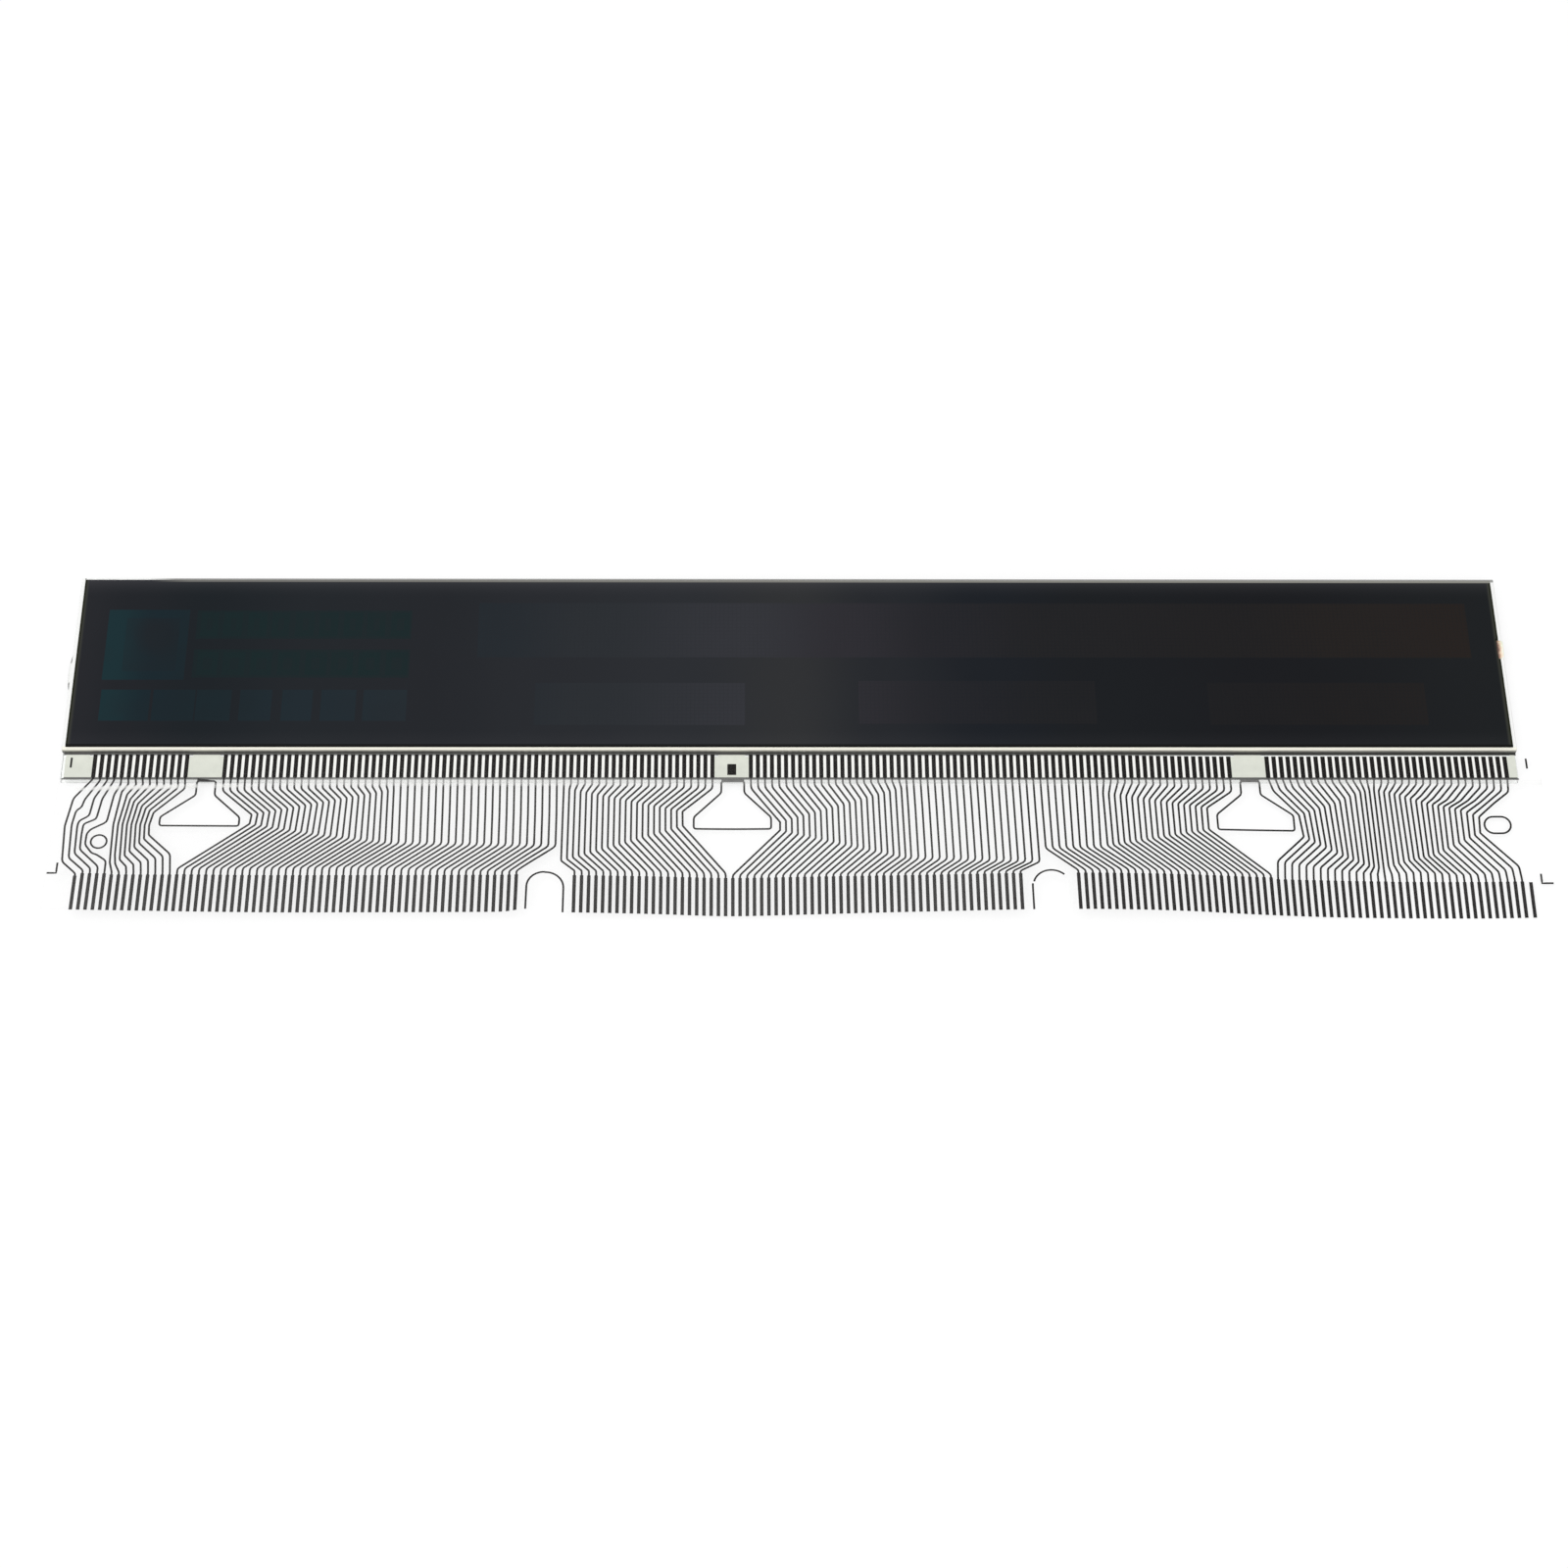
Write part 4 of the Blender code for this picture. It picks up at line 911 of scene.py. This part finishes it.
def cell_spans(low, high, count, gap):
    """Even cells between two ends with a gap between them."""
    width = (high - low - (count - 1) * gap) / count
    starts = [low + step * (width + gap) for step in range(count)]
    return [(start, start + width) for start in starts]


def line_weight(look, x, y, line):
    """Row of plain cells with darker cores, on a slightly lighter band."""
    middle_y, half_y, low, high, count = line
    band = look.area(x, y, (low + high) / 2, middle_y, (high - low) / 2, half_y)
    cells = look.spans(x, *LINE_SPAN, cell_spans(low + 0.4, high - 0.4, count, 0.8))
    cells = look.times(cells, look.within(y, middle_y, half_y - 0.45))
    cores = look.spans(x, *LINE_SPAN, cell_spans(low + 1.3, high - 1.3, count, 2.6))
    cores = look.times(cores, look.within(y, middle_y, half_y * 0.42))
    weight = look.math("ADD", look.times(band, 0.42), look.times(cells, 0.20))
    return look.math("SUBTRACT", weight, look.times(cores, 0.16))


def dot_weight(look, x, y):
    """Fields of fine square dots in rows and columns."""
    dots = 1.0
    for value in (x, y):
        share = look.math("FRACT", look.times(value, 1 / DOT_PITCH))
        edge = look.size(look.math("SUBTRACT", share, 0.5))
        dots = look.times(dots, look.ranged(edge, 0.34, 0.44, 1.0, 0.0))
    fields = [look.times(look.area(x, y, *field[:4]), field[4]) for field in DOT_FIELDS]
    return look.times(look.most(*fields), look.math("ADD", 0.72, look.times(dots, 0.40)))


def polariser_look(finish):
    """Nearly black film: its tone follows the length of the display, lightest near the middle from
    painted reflection, with faint fields of the cell behind it, painted sheen towards its long
    edges, a painted grey shade along its far edge, an olive line along its cut ends and a few
    specks of dust."""
    look = Look("front_polariser_finish")
    x, y, _ = look.place()
    colour, field = (
        look.toned(x, *TONE_SPAN, [(place, under_gloss(*tone)) for place, tone in tones])
        for tones in (CELL_TONES, FIELD_TONES)
    )
    cloud = look.cloud(190.0, 2.0, 0.82, 1.12)
    lines = look.times(look.most(*(line_weight(look, x, y, line) for line in LINES)), cloud)
    colour = look.mix(lines, colour, under_gloss(*LINE_TONE))
    row_y, row_half, boxes = BOX_ROW
    row = look.times(look.spans(x, *LINE_SPAN, boxes), look.within(y, row_y, row_half), 0.92)
    weight = look.most(icon_weight(look, x, y), row, dot_weight(look, x, y))
    colour = look.mix(look.times(weight, cloud), colour, field)

    half_x, half_y = POLARISER_HIGH.x / MM, POLARISER_HIGH.y / MM
    # Painted sheen: lighter towards the far edge and faintly towards the near edge.
    far_glow = look.ranged(y, half_y - 3.2, half_y)
    near_glow = look.ranged(y, 2.6 - half_y, -half_y, 0.0, 0.011)
    glow = look.math("ADD", look.times(far_glow, far_glow, 0.042), near_glow)
    colour = look.mix(glow, colour, (0.5, 0.48, 0.52))
    strip = look.ranged(look.size(x), half_x - 0.65, half_x - 0.40, 0.0, 0.55)
    colour = look.mix(strip, colour, linear(62, 63, 55))
    line = look.ranged(look.size(x), half_x - 0.24, half_x - 0.18)
    colour = look.mix(line, colour, tuple(finish.cut_edge))
    near_line = look.ranged(y, 0.30 - half_y, 0.45 - half_y, 0.85, 0.0)
    colour = look.mix(near_line, colour, (0.001, 0.001, 0.0006))
    # Painted shade: a grey strip along the far edge, for the far edge of the glass seen through it.
    far_line = look.ranged(y, half_y - 0.42, half_y - 0.28)
    far_line = look.times(far_line, look.ranged(x, -93.0, -88.0))
    pale = look.mix(look.ranged(x, -90.0, 90.0), linear(108, 107, 104), linear(140, 139, 132))
    colour = look.mix(far_line, colour, pale)

    inputs = {"Vector": look.point, "Scale": 62.0, "Randomness": 1.0}
    dust = look.add("ShaderNodeTexVoronoi", inputs, feature="F1").outputs
    speck = look.ranged(dust["Distance"], 0.006, 0.013, 1.0, 0.0)
    chosen = look.add("ShaderNodeSeparateXYZ", {0: dust["Color"]}).outputs[0]
    speck = look.times(speck, look.math("GREATER_THAN", chosen, 0.62), 0.30)
    colour = look.mix(speck, colour, (0.5, 0.55, 0.6))
    roughness = look.ranged(look.noise(60.0, 3.0), 0.35, 0.65, 0.20, 0.30)
    return look.finished(colour, roughness, (900.0, 0.04, 0.00002), {"Specular IOR Level": 0.15})


def rear_polariser_look():
    """Grey film with its reflector, brushed along the display."""
    look = Look("rear_polariser_finish")
    streak = look.noise(120.0, 3.0, (0.08, 1.0, 1.0))
    share = look.ranged(streak, 0.3, 0.7)
    colour = look.mix(share, (0.040, 0.044, 0.048), (0.062, 0.066, 0.070))
    return look.finished(colour, look.ranged(streak, 0.3, 0.7, 0.32, 0.45), (700.0, 0.05, 0.00002))


def rim_shader(look, x, y, z, notch, finish):
    """Bare rim of the front glass around the polariser, milky with the seal behind it: cream on the
    near side with painted shade at its foot on the ledge, a painted grey shade along the far side
    and nearly white at the ends, with a dark line beside the polariser's ends and in the notch for
    the plug."""
    half_x, half_y = POLARISER_HIGH.x / MM, POLARISER_HIGH.y / MM
    near = look.ranged(y, -half_y, 0.2 - half_y, 1.0, 0.0)
    far = look.ranged(y, half_y - 0.2, half_y)
    left_end = POLARISER_LOW.x / MM
    ends = look.ranged(x, left_end + 9.0, left_end + 13.0)
    level = look.ranged(z, FRONT_LOW.z / MM, FRONT_HIGH.z / MM)
    cloud = look.ranged(look.noise(240.0, 3.0, (0.3, 1.0, 1.0)), 0.3, 0.7, -0.04, 0.04)
    # Painted shade: the near face goes dark towards its foot, where it stands on the ledge.
    stops = (
        (0.0, (0.028, 0.028, 0.025)),
        (0.14, (0.050, 0.050, 0.044)),
        (0.40, (0.15, 0.15, 0.135)),
        (0.63, (0.43, 0.42, 0.37)),
        (0.82, tuple(finish.rim)),
        (1.0, tuple(finish.rim)),
    )
    face = look.toned(look.math("ADD", level, cloud), 0.0, 1.0, stops)
    beside = look.within(look.size(x), half_x + 0.04, 0.06)
    colour = look.mix(beside, (0.97, 0.975, 0.96), tuple(finish.cut_edge))
    colour = look.mix(near, colour, face)
    # Painted shade: the far side is grey, for the far edge of the glass seen through it.
    colour = look.mix(look.times(far, ends), colour, (0.34, 0.34, 0.33))
    colour = look.mix(notch, colour, tuple(finish.cut_edge))
    return look.shader(colour, 0.35)


def glass_body(look, finish, normal):
    """Clear glass, faintly ground on its cut edges."""
    upright = look.ranged(look.size(normal[2]), 0.2, 0.9, 1.0, 0.0)
    roughness = look.times(upright, look.cloud(1500.0, 2.0, 0.04, 0.16))
    roughness = look.math("ADD", 0.02, roughness)
    return look.shader(tuple(finish.glass), roughness, {"IOR": 1.52, "Transmission Weight": 1.0})


def lamplit(look, surface):
    """Material that lets the lamps through: a surface to every ray but those of a shadow."""
    ray = look.add("ShaderNodeLightPath").outputs["Is Shadow Ray"]
    return look.shown(look.blend(ray, surface, look.clear()))


def front_glass_look(finish):
    """Clear glass, with its milky rim outside the polariser."""
    look = Look("front_glass_finish")
    x, y, z = look.place()
    reach_x = look.math("SUBTRACT", look.size(x), POLARISER_HIGH.x / MM)
    reach_y = look.math("SUBTRACT", look.size(y), POLARISER_HIGH.y / MM)
    notch = look.area(x, y, *PLUG_NOTCH)
    bare = look.most(look.ranged(look.most(reach_x, reach_y), -0.08, 0.0, 0.0, 0.94), notch)
    body = glass_body(look, finish, look.normal())
    return lamplit(look, look.blend(bare, body, rim_shader(look, x, y, z, notch, finish)))


def ledge_shade_tone(look, x):
    """Colour of the painted shade lines along the ledge, darker to the right."""
    return look.mix(look.ranged(x, *LEDGE_SHADE_SPAN), *LEDGE_SHADE_TONES)


def rear_glass_look(finish):
    """Clear glass with open cut faces at the ledge, where the table shows through, and a painted
    shade
    line along both sides of the ledge: at the foot of the front glass and at the ledge's edge."""
    look = Look("rear_glass_finish")
    x, y, z = look.place()
    normal = look.normal()
    near = look.ranged(normal[1], -0.9, -0.5, 0.9, 0.0)
    ends = look.ranged(look.size(normal[0]), 0.5, 0.9, 0.0, 0.9)
    ends = look.times(ends, look.ranged(y, -15.0, -14.0, 1.0, 0.0))
    surface = look.blend(look.most(near, ends), glass_body(look, finish, normal), look.clear())
    # Painted shade on the top face, along the ledge's edge and at the foot of the front glass.
    top = look.times(look.ranged(z, 1.18, 1.22), look.ranged(x, -103.2, -103.1))
    outer = look.ranged(y, -18.90, -18.84, 1.0, 0.0)
    inner = look.times(look.ranged(y, -15.06, -14.98), look.ranged(y, -14.6, -14.5, 1.0, 0.0))
    dark = look.shader(ledge_shade_tone(look, x), 0.4)
    return lamplit(look, look.blend(look.times(top, look.most(outer, inner)), surface, dark))


def film_look(finish):
    """Clear polyester: a thin milky veil, a painted band of glare and painted patches of glare
    beside the ledge, and soft waves in its gloss."""
    look = Look("polyester_film_finish")
    x, y, _ = look.place()
    veil = look.ranged(look.noise(45.0, 4.0, (0.5, 1.6, 1.0)), 0.35, 0.75, 0.7, 1.3)
    veil = look.times(veil, look.ranged(x, 26.0, 43.0, 0.030, 0.010))
    veil = look.times(veil, look.ranged(y, -19.2, -18.9, 1.0, 0.20))
    # Painted highlight: a band of glare along the film just below the ledge.
    glare_band = look.ranged(look.size(look.math("ADD", y, 19.6)), 0.3, 0.8, 1.0, 0.0)
    glare_band = look.times(glare_band, look.ranged(x, -45.0, -10.0, 0.24, 0.08), look.ranged(x, -78.0, -68.0))
    slant = look.math("ADD", y, look.ranged(x, -100.0, -70.0, 20.75, 19.9))
    glare = look.times(
        look.ranged(look.size(slant), 0.1, 0.45, 1.0, 0.0),
        look.ranged(x, -76.0, -66.0, 1.0, 0.0),
        look.ranged(x, -101.0, -99.5),
        look.ranged(look.noise(420.0, 2.0), 0.40, 0.56),
        0.55,
    )
    alpha = look.math("ADD", veil, look.most(glare, glare_band))
    roughness = look.cloud(160.0, 2.0, 0.12, 0.24)
    return look.finished(tuple(finish.film), roughness, (140.0, 0.10, 0.0001), {"Alpha": alpha})


def ink_look(finish):
    """Carbon ink: nearly black and dry, with a fine screen-printed grain."""
    look = Look("conductor_ink_finish")
    colour = look.clouded(finish.ink, 3500.0, 0.7, 1.5)
    return look.finished(colour, 0.6, (5000.0, 0.2, 0.00001), {"Specular IOR Level": 0.2})


def adhesive_look(name, finish, low=None, high=None):
    """Pale adhesive, with painted light that makes it paler under the wall of the glass, against
    the wall's shade, and painted shade along the ledge's edge. Between a low and a high place,
    where the contacts are, it is nearly white."""
    look = Look(name)
    x, y, _ = look.place()
    colour = look.clouded(finish.adhesive, 900.0, 0.97, 1.03)
    if low is not None:
        reach = look.size(look.math("SUBTRACT", x, (low + high) / 2))
        half = (high - low) / 2
        inside = look.ranged(reach, half - 0.6, half - 0.48, 1.0, 0.0)
        colour = look.mix(inside, colour, (0.91, 0.91, 0.88))
    # Painted light: paler towards the wall of the glass, against the shade that the wall casts.
    colour = look.scaled(colour, look.ranged(y, -17.0, -15.1, 1.0, 1.10))
    # Painted shade: a dark line along the ledge's edge.
    edge = look.ranged(y, -18.78, -18.70, 1.0, 0.0)
    colour = look.mix(edge, colour, ledge_shade_tone(look, x))
    return look.finished(colour, 0.5, (2500.0, 0.1, 0.00001))


def plain_look(name, colour, roughness, spread=0.12, scale=600.0, others=None):
    """Finish of a small part: one colour clouded by noise, with a fine grain."""
    look = Look(name)
    colour = look.clouded(colour, scale, 1 - spread, 1 + spread)
    return look.finished(colour, roughness, (scale * 3, 0.1, 0.00001), others)


def amber_look(finish):
    """Cured resin: brown where it meets the polariser, paler outwards, with a soft gloss."""
    look = Look("amber_glue_finish")
    outward = look.ranged(look.place()[0], 102.45, 103.35)
    share = look.math("ADD", outward, look.cloud(1800.0, 3.0, -0.12, 0.12))
    stops = (
        (0.0, linear(48, 36, 30)),
        (0.22, linear(104, 80, 70)),
        (0.45, tuple(finish.amber_glue)),
        (0.72, linear(250, 228, 202)),
        (1.0, linear(255, 249, 238)),
    )
    colour = look.toned(share, 0.0, 1.0, stops, "LINEAR")
    others = {"Subsurface Weight": 0.2, "Subsurface Scale": 0.0004}
    return look.finished(colour, 0.28, (2500.0, 0.15, 0.00002), others)


def clear_glue_look():
    """Clear cured glue, dark grey at its thin ends."""
    look = Look("clear_glue_finish")
    reach = look.size(look.math("ADD", look.place()[1], 1.6))
    cloud = look.ranged(look.noise(1500.0, 2.0), 0.35, 0.65, 0.7, 1.0)
    ends = look.times(look.ranged(reach, 1.55, 1.9), cloud)
    colour = look.mix(ends, (0.90, 0.91, 0.89), (0.07, 0.07, 0.07))
    return look.finished(colour, 0.18, (2000.0, 0.1, 0.00001))


def floor_look():
    """White floor: it shows as white to the camera, in reflections and through glass, and keeps
    the soft shadow of the part."""
    look = Look("studio_floor")
    colour = look.mix(look.cloud(8.0, 2.0), (0.29, 0.29, 0.29), (0.31, 0.31, 0.31))
    diffuse = look.add("ShaderNodeBsdfDiffuse", {0: colour}).outputs[0]
    glow = look.add("ShaderNodeEmission", {0: (1.0, 1.0, 1.0), 1: 0.71}).outputs[0]
    none = look.add("ShaderNodeEmission", {0: (0.0, 0.0, 0.0), 1: 0.0}).outputs[0]
    ray = look.add("ShaderNodeLightPath").outputs
    seen = look.most(*(ray[f"Is {kind} Ray"] for kind in ("Camera", "Glossy", "Transmission")))
    inputs = {0: diffuse, 1: look.blend(seen, none, glow)}
    return look.shown(look.add("ShaderNodeAddShader", inputs).outputs[0])


def dress(look, *nodes):
    """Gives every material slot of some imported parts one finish."""
    for node in nodes:
        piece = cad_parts[node]
        if not piece.data.materials:
            piece.data.materials.append(look)
        for slot in piece.material_slots:
            slot.material = look


class DISPLAY_OT_plates(bpy.types.Operator):
    """Finish the two polarisers and the two glass plates"""

    bl_idname = "display.plates"
    bl_label = "Polarisers and Glass"

    def execute(self, context):
        finish = context.scene.display_finish
        dress(polariser_look(finish), "front_polariser")
        dress(rear_polariser_look(), "rear_polariser")
        dress(front_glass_look(finish), "front_glass")
        dress(rear_glass_look(finish), "rear_glass")
        return {"FINISHED"}


class DISPLAY_OT_cell(bpy.types.Operator):
    """Finish the seal, the liquid crystal and the transfer dots"""

    bl_idname = "display.cell"
    bl_label = "Cell"

    def execute(self, context):
        seal = plain_look("seal_finish", (0.55, 0.53, 0.45), 0.5)
        dress(seal, "cell_seal_upper", "cell_seal_lower")
        crystal = plain_look("liquid_crystal_finish", (0.62, 0.64, 0.58), 0.15, 0.05, 80.0)
        dress(crystal, "liquid_crystal")
        grey = (0.6, 0.6, 0.6)
        silver = plain_look("transfer_silver_finish", grey, 0.4, others={"Metallic": 0.8})
        dress(silver, "transfer_dot_left", "transfer_dot_right")
        return {"FINISHED"}


class DISPLAY_OT_port_glue(bpy.types.Operator):
    """Build the amber plug of the fill port and the clear bead of the vent port"""

    bl_idname = "display.port_glue"
    bl_label = "Port Glue"

    def execute(self, context):
        points, faces = bead_parts(*AMBER_PLUG)
        look = amber_look(context.scene.display_finish)
        plug = new_piece("amber_plug", points, faces, look, ["fill_port_plug"])
        points, faces = bead_parts(*CLEAR_BEAD)
        look = clear_glue_look()
        bead = new_piece("clear_bead", points, faces, look, ["vent_port_bead"])
        for piece in (plug, bead):
            piece.data.shade_smooth()
            piece.data.set_sharp_from_angle(angle=math.radians(50))
        return {"FINISHED"}


class DISPLAY_OT_bonds(bpy.types.Operator):
    """Finish the adhesive under the contacts and lay the fields between them"""

    bl_idname = "display.bonds"
    bl_label = "Adhesive on the Ledge"

    def execute(self, context):
        finish = context.scene.display_finish
        ends = [REAR_LOW.x + 0.00055]
        for number in range(1, len(CONTACT_COUNTS) + 1):
            low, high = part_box(f"tail_bond_{number}")
            look = adhesive_look(f"adhesive_{number}", finish, low.x / MM, high.x / MM)
            dress(look, f"tail_bond_{number}")
            ends += [low.x - 0.00001, high.x + 0.00001]
        ends.append(REAR_HIGH.x - 0.0002)
        low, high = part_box("tail_bond_1")
        ends = np.array(ends).reshape(-1, 2)
        near_glass = FRONT_LOW.y - 0.00025
        corners = np.array(((0, 0), (1, 0), (1, 1), (0, 1)) * 2)
        x = ends[:, :1] + (ends[:, 1:] - ends[:, :1]) * corners[:, 0]
        y = np.broadcast_to(low.y + (near_glass - low.y) * corners[:, 1], x.shape)
        z = np.broadcast_to(np.repeat((low.z, high.z), 4), x.shape)
        points = np.stack((x, y, z), axis=2).reshape(-1, 3)
        base = np.arange(4)
        sides = np.stack((base, np.roll(base, -1), np.roll(base, -1) + 4, base + 4), axis=1)
        box = np.concatenate((base[None, ::-1], base[None] + 4, sides))
        faces = (box + 8 * np.arange(len(ends))[:, None, None]).reshape(-1, 4)
        look = adhesive_look("adhesive_field", finish)
        new_piece("adhesive_fields", points, [faces], look)
        return {"FINISHED"}


class DISPLAY_OT_tail_film(bpy.types.Operator):
    """Cut and drape the clear film of the tail"""

    bl_idname = "display.tail_film"
    bl_label = "Tail Film"

    def execute(self, context):
        scene = context.scene
        points, faces = film_parts(scene.display_sizes.guard_offset / MM)
        look = film_look(scene.display_finish)
        film = new_piece("tail_film", points, faces, look, ["heat_seal_tail"])
        weld = film.modifiers.new("strips", "WELD")
        weld.merge_threshold = 0.000002
        wall = film.modifiers.new("thickness", "SOLIDIFY")
        wall.thickness = scene.display_sizes.film_thickness
        wall.offset = 1.0
        film.data.shade_smooth()
        return {"FINISHED"}


class DISPLAY_OT_conductors(bpy.types.Operator):
    """Print the conductors with their contacts and bars"""

    bl_idname = "display.conductors"
    bl_label = "Conductors"

    def execute(self, context):
        scene = context.scene
        points, faces = conductor_parts(scene.display_sizes)
        new_piece("tail_conductors", points, faces, ink_look(scene.display_finish))
        return {"FINISHED"}


class DISPLAY_OT_guards(bpy.types.Operator):
    """Print the guard lines around the cuts and the marks, and the painted shadows at the tops of
    the windows' necks
    """

    bl_idname = "display.guards"
    bl_label = "Guard Lines and Marks"

    def execute(self, context):
        scene = context.scene
        points, faces = guard_parts(scene.display_sizes)
        new_piece("tail_guard_lines_and_shadows", points, faces, ink_look(scene.display_finish))
        return {"FINISHED"}


def lay_floor(scene, size):
    """White floor, just under the table's level."""
    half = size / 2
    mesh = bpy.data.meshes.new("floor")
    corners = np.array(((-half, -half), (half, -half), (half, half), (-half, half)))
    points = np.concatenate((corners, np.full((4, 1), -FLOOR_DROP)), axis=1)
    set_faces(mesh, points, [np.arange(4)[None]])
    mesh.materials.append(floor_look())
    floor = bpy.data.objects.new("floor", mesh)
    scene.collection.objects.link(floor)


def light_stage(scene, sky_strength, lamp_power):
    """Even light from all round, which shows as white behind the part, and one large lamp."""
    world = bpy.data.worlds.new("studio_sky")
    scene.world = world
    world.use_nodes = True
    nodes = world.node_tree.nodes
    links = world.node_tree.links
    nodes.clear()
    blend = nodes.new("ShaderNodeMixShader")
    links.new(nodes.new("ShaderNodeLightPath").outputs["Is Camera Ray"], blend.inputs[0])
    for socket, strength in ((1, sky_strength), (2, 1.0)):
        light = nodes.new("ShaderNodeBackground")
        light.inputs[0].default_value = (1.0, 1.0, 1.0, 1.0)
        light.inputs[1].default_value = strength
        links.new(light.outputs[0], blend.inputs[socket])
    links.new(blend.outputs[0], nodes.new("ShaderNodeOutputWorld").inputs[0])

    lamp = bpy.data.lights.new("soft_lamp", "AREA")
    lamp.shape = "SQUARE"
    lamp.size = LAMP_SIZE
    lamp.energy = lamp_power
    lamp_object = bpy.data.objects.new("soft_lamp", lamp)
    lamp_object.location = LAMP_PLACE
    lamp_object.rotation_euler = (-Vector(LAMP_PLACE)).to_track_quat("-Z", "Y").to_euler()
    scene.collection.objects.link(lamp_object)


def place_camera(scene):
    """Camera that looks down on the part from its tail side, turned by yaw, pitch and roll."""
    turn = Matrix.Rotation(CAMERA_YAW, 3, "Z") @ Matrix.Rotation(-CAMERA_PITCH, 3, "X")
    right, forward, up = (turn @ Matrix.Rotation(CAMERA_ROLL, 3, "Y")).col
    camera = bpy.data.cameras.new("camera")
    camera.sensor_width = 36.0
    camera.lens = CAMERA_LENS
    camera.shift_x = CAMERA_SHIFT
    camera.clip_start = 0.01
    camera.clip_end = 20.0
    camera_object = bpy.data.objects.new("camera", camera)
    pose = Matrix((right, up, -forward)).transposed().to_4x4()
    pose.translation = CAMERA_PLACE
    camera_object.matrix_world = pose
    scene.collection.objects.link(camera_object)
    scene.camera = camera_object


class DISPLAY_OT_stage(bpy.types.Operator):
    """Set the floor, the light and the camera"""

    bl_idname = "display.stage"
    bl_label = "Stage"

    def execute(self, context):
        scene = context.scene
        studio = scene.display_studio
        lay_floor(scene, studio.floor_size)
        light_stage(scene, studio.sky_strength, studio.lamp_power)
        place_camera(scene)
        scene.view_settings.view_transform = "Standard"
        return {"FINISHED"}


class DISPLAY_PT_panel(bpy.types.Panel):
    """Sizes, colours and steps of the display"""

    bl_idname = "DISPLAY_PT_panel"
    bl_label = "Display"
    bl_space_type = "VIEW_3D"
    bl_region_type = "UI"
    bl_category = "Display"

    def draw(self, context):
        layout = self.layout
        for group in ("display_sizes", "display_finish", "display_studio"):
            settings = getattr(context.scene, group)
            box = layout.box()
            for key in settings.bl_rna.properties.keys():
                if key not in {"rna_type", "name"}:
                    box.prop(settings, key)
        for step in STEPS:
            layout.operator(step.bl_idname)


STEPS = (
    DISPLAY_OT_plates,
    DISPLAY_OT_cell,
    DISPLAY_OT_port_glue,
    DISPLAY_OT_bonds,
    DISPLAY_OT_tail_film,
    DISPLAY_OT_conductors,
    DISPLAY_OT_guards,
    DISPLAY_OT_stage,
)
CLASSES = (TailSizes, DisplayFinish, StudioSettings, *STEPS, DISPLAY_PT_panel)


def register():
    """Adds the classes and their settings to Blender."""
    for one in CLASSES:
        bpy.utils.register_class(one)
    bpy.types.Scene.display_sizes = PointerProperty(type=TailSizes)
    bpy.types.Scene.display_finish = PointerProperty(type=DisplayFinish)
    bpy.types.Scene.display_studio = PointerProperty(type=StudioSettings)


def unregister():
    """Takes the classes and their settings away again."""
    del bpy.types.Scene.display_studio
    del bpy.types.Scene.display_finish
    del bpy.types.Scene.display_sizes
    for one in reversed(CLASSES):
        bpy.utils.unregister_class(one)


def main():
    """Runs every step in order."""
    register()
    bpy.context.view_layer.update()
    for step in STEPS:
        group, name = step.bl_idname.split(".")
        getattr(getattr(bpy.ops, group), name)()


if __name__ == "__main__":
    main()
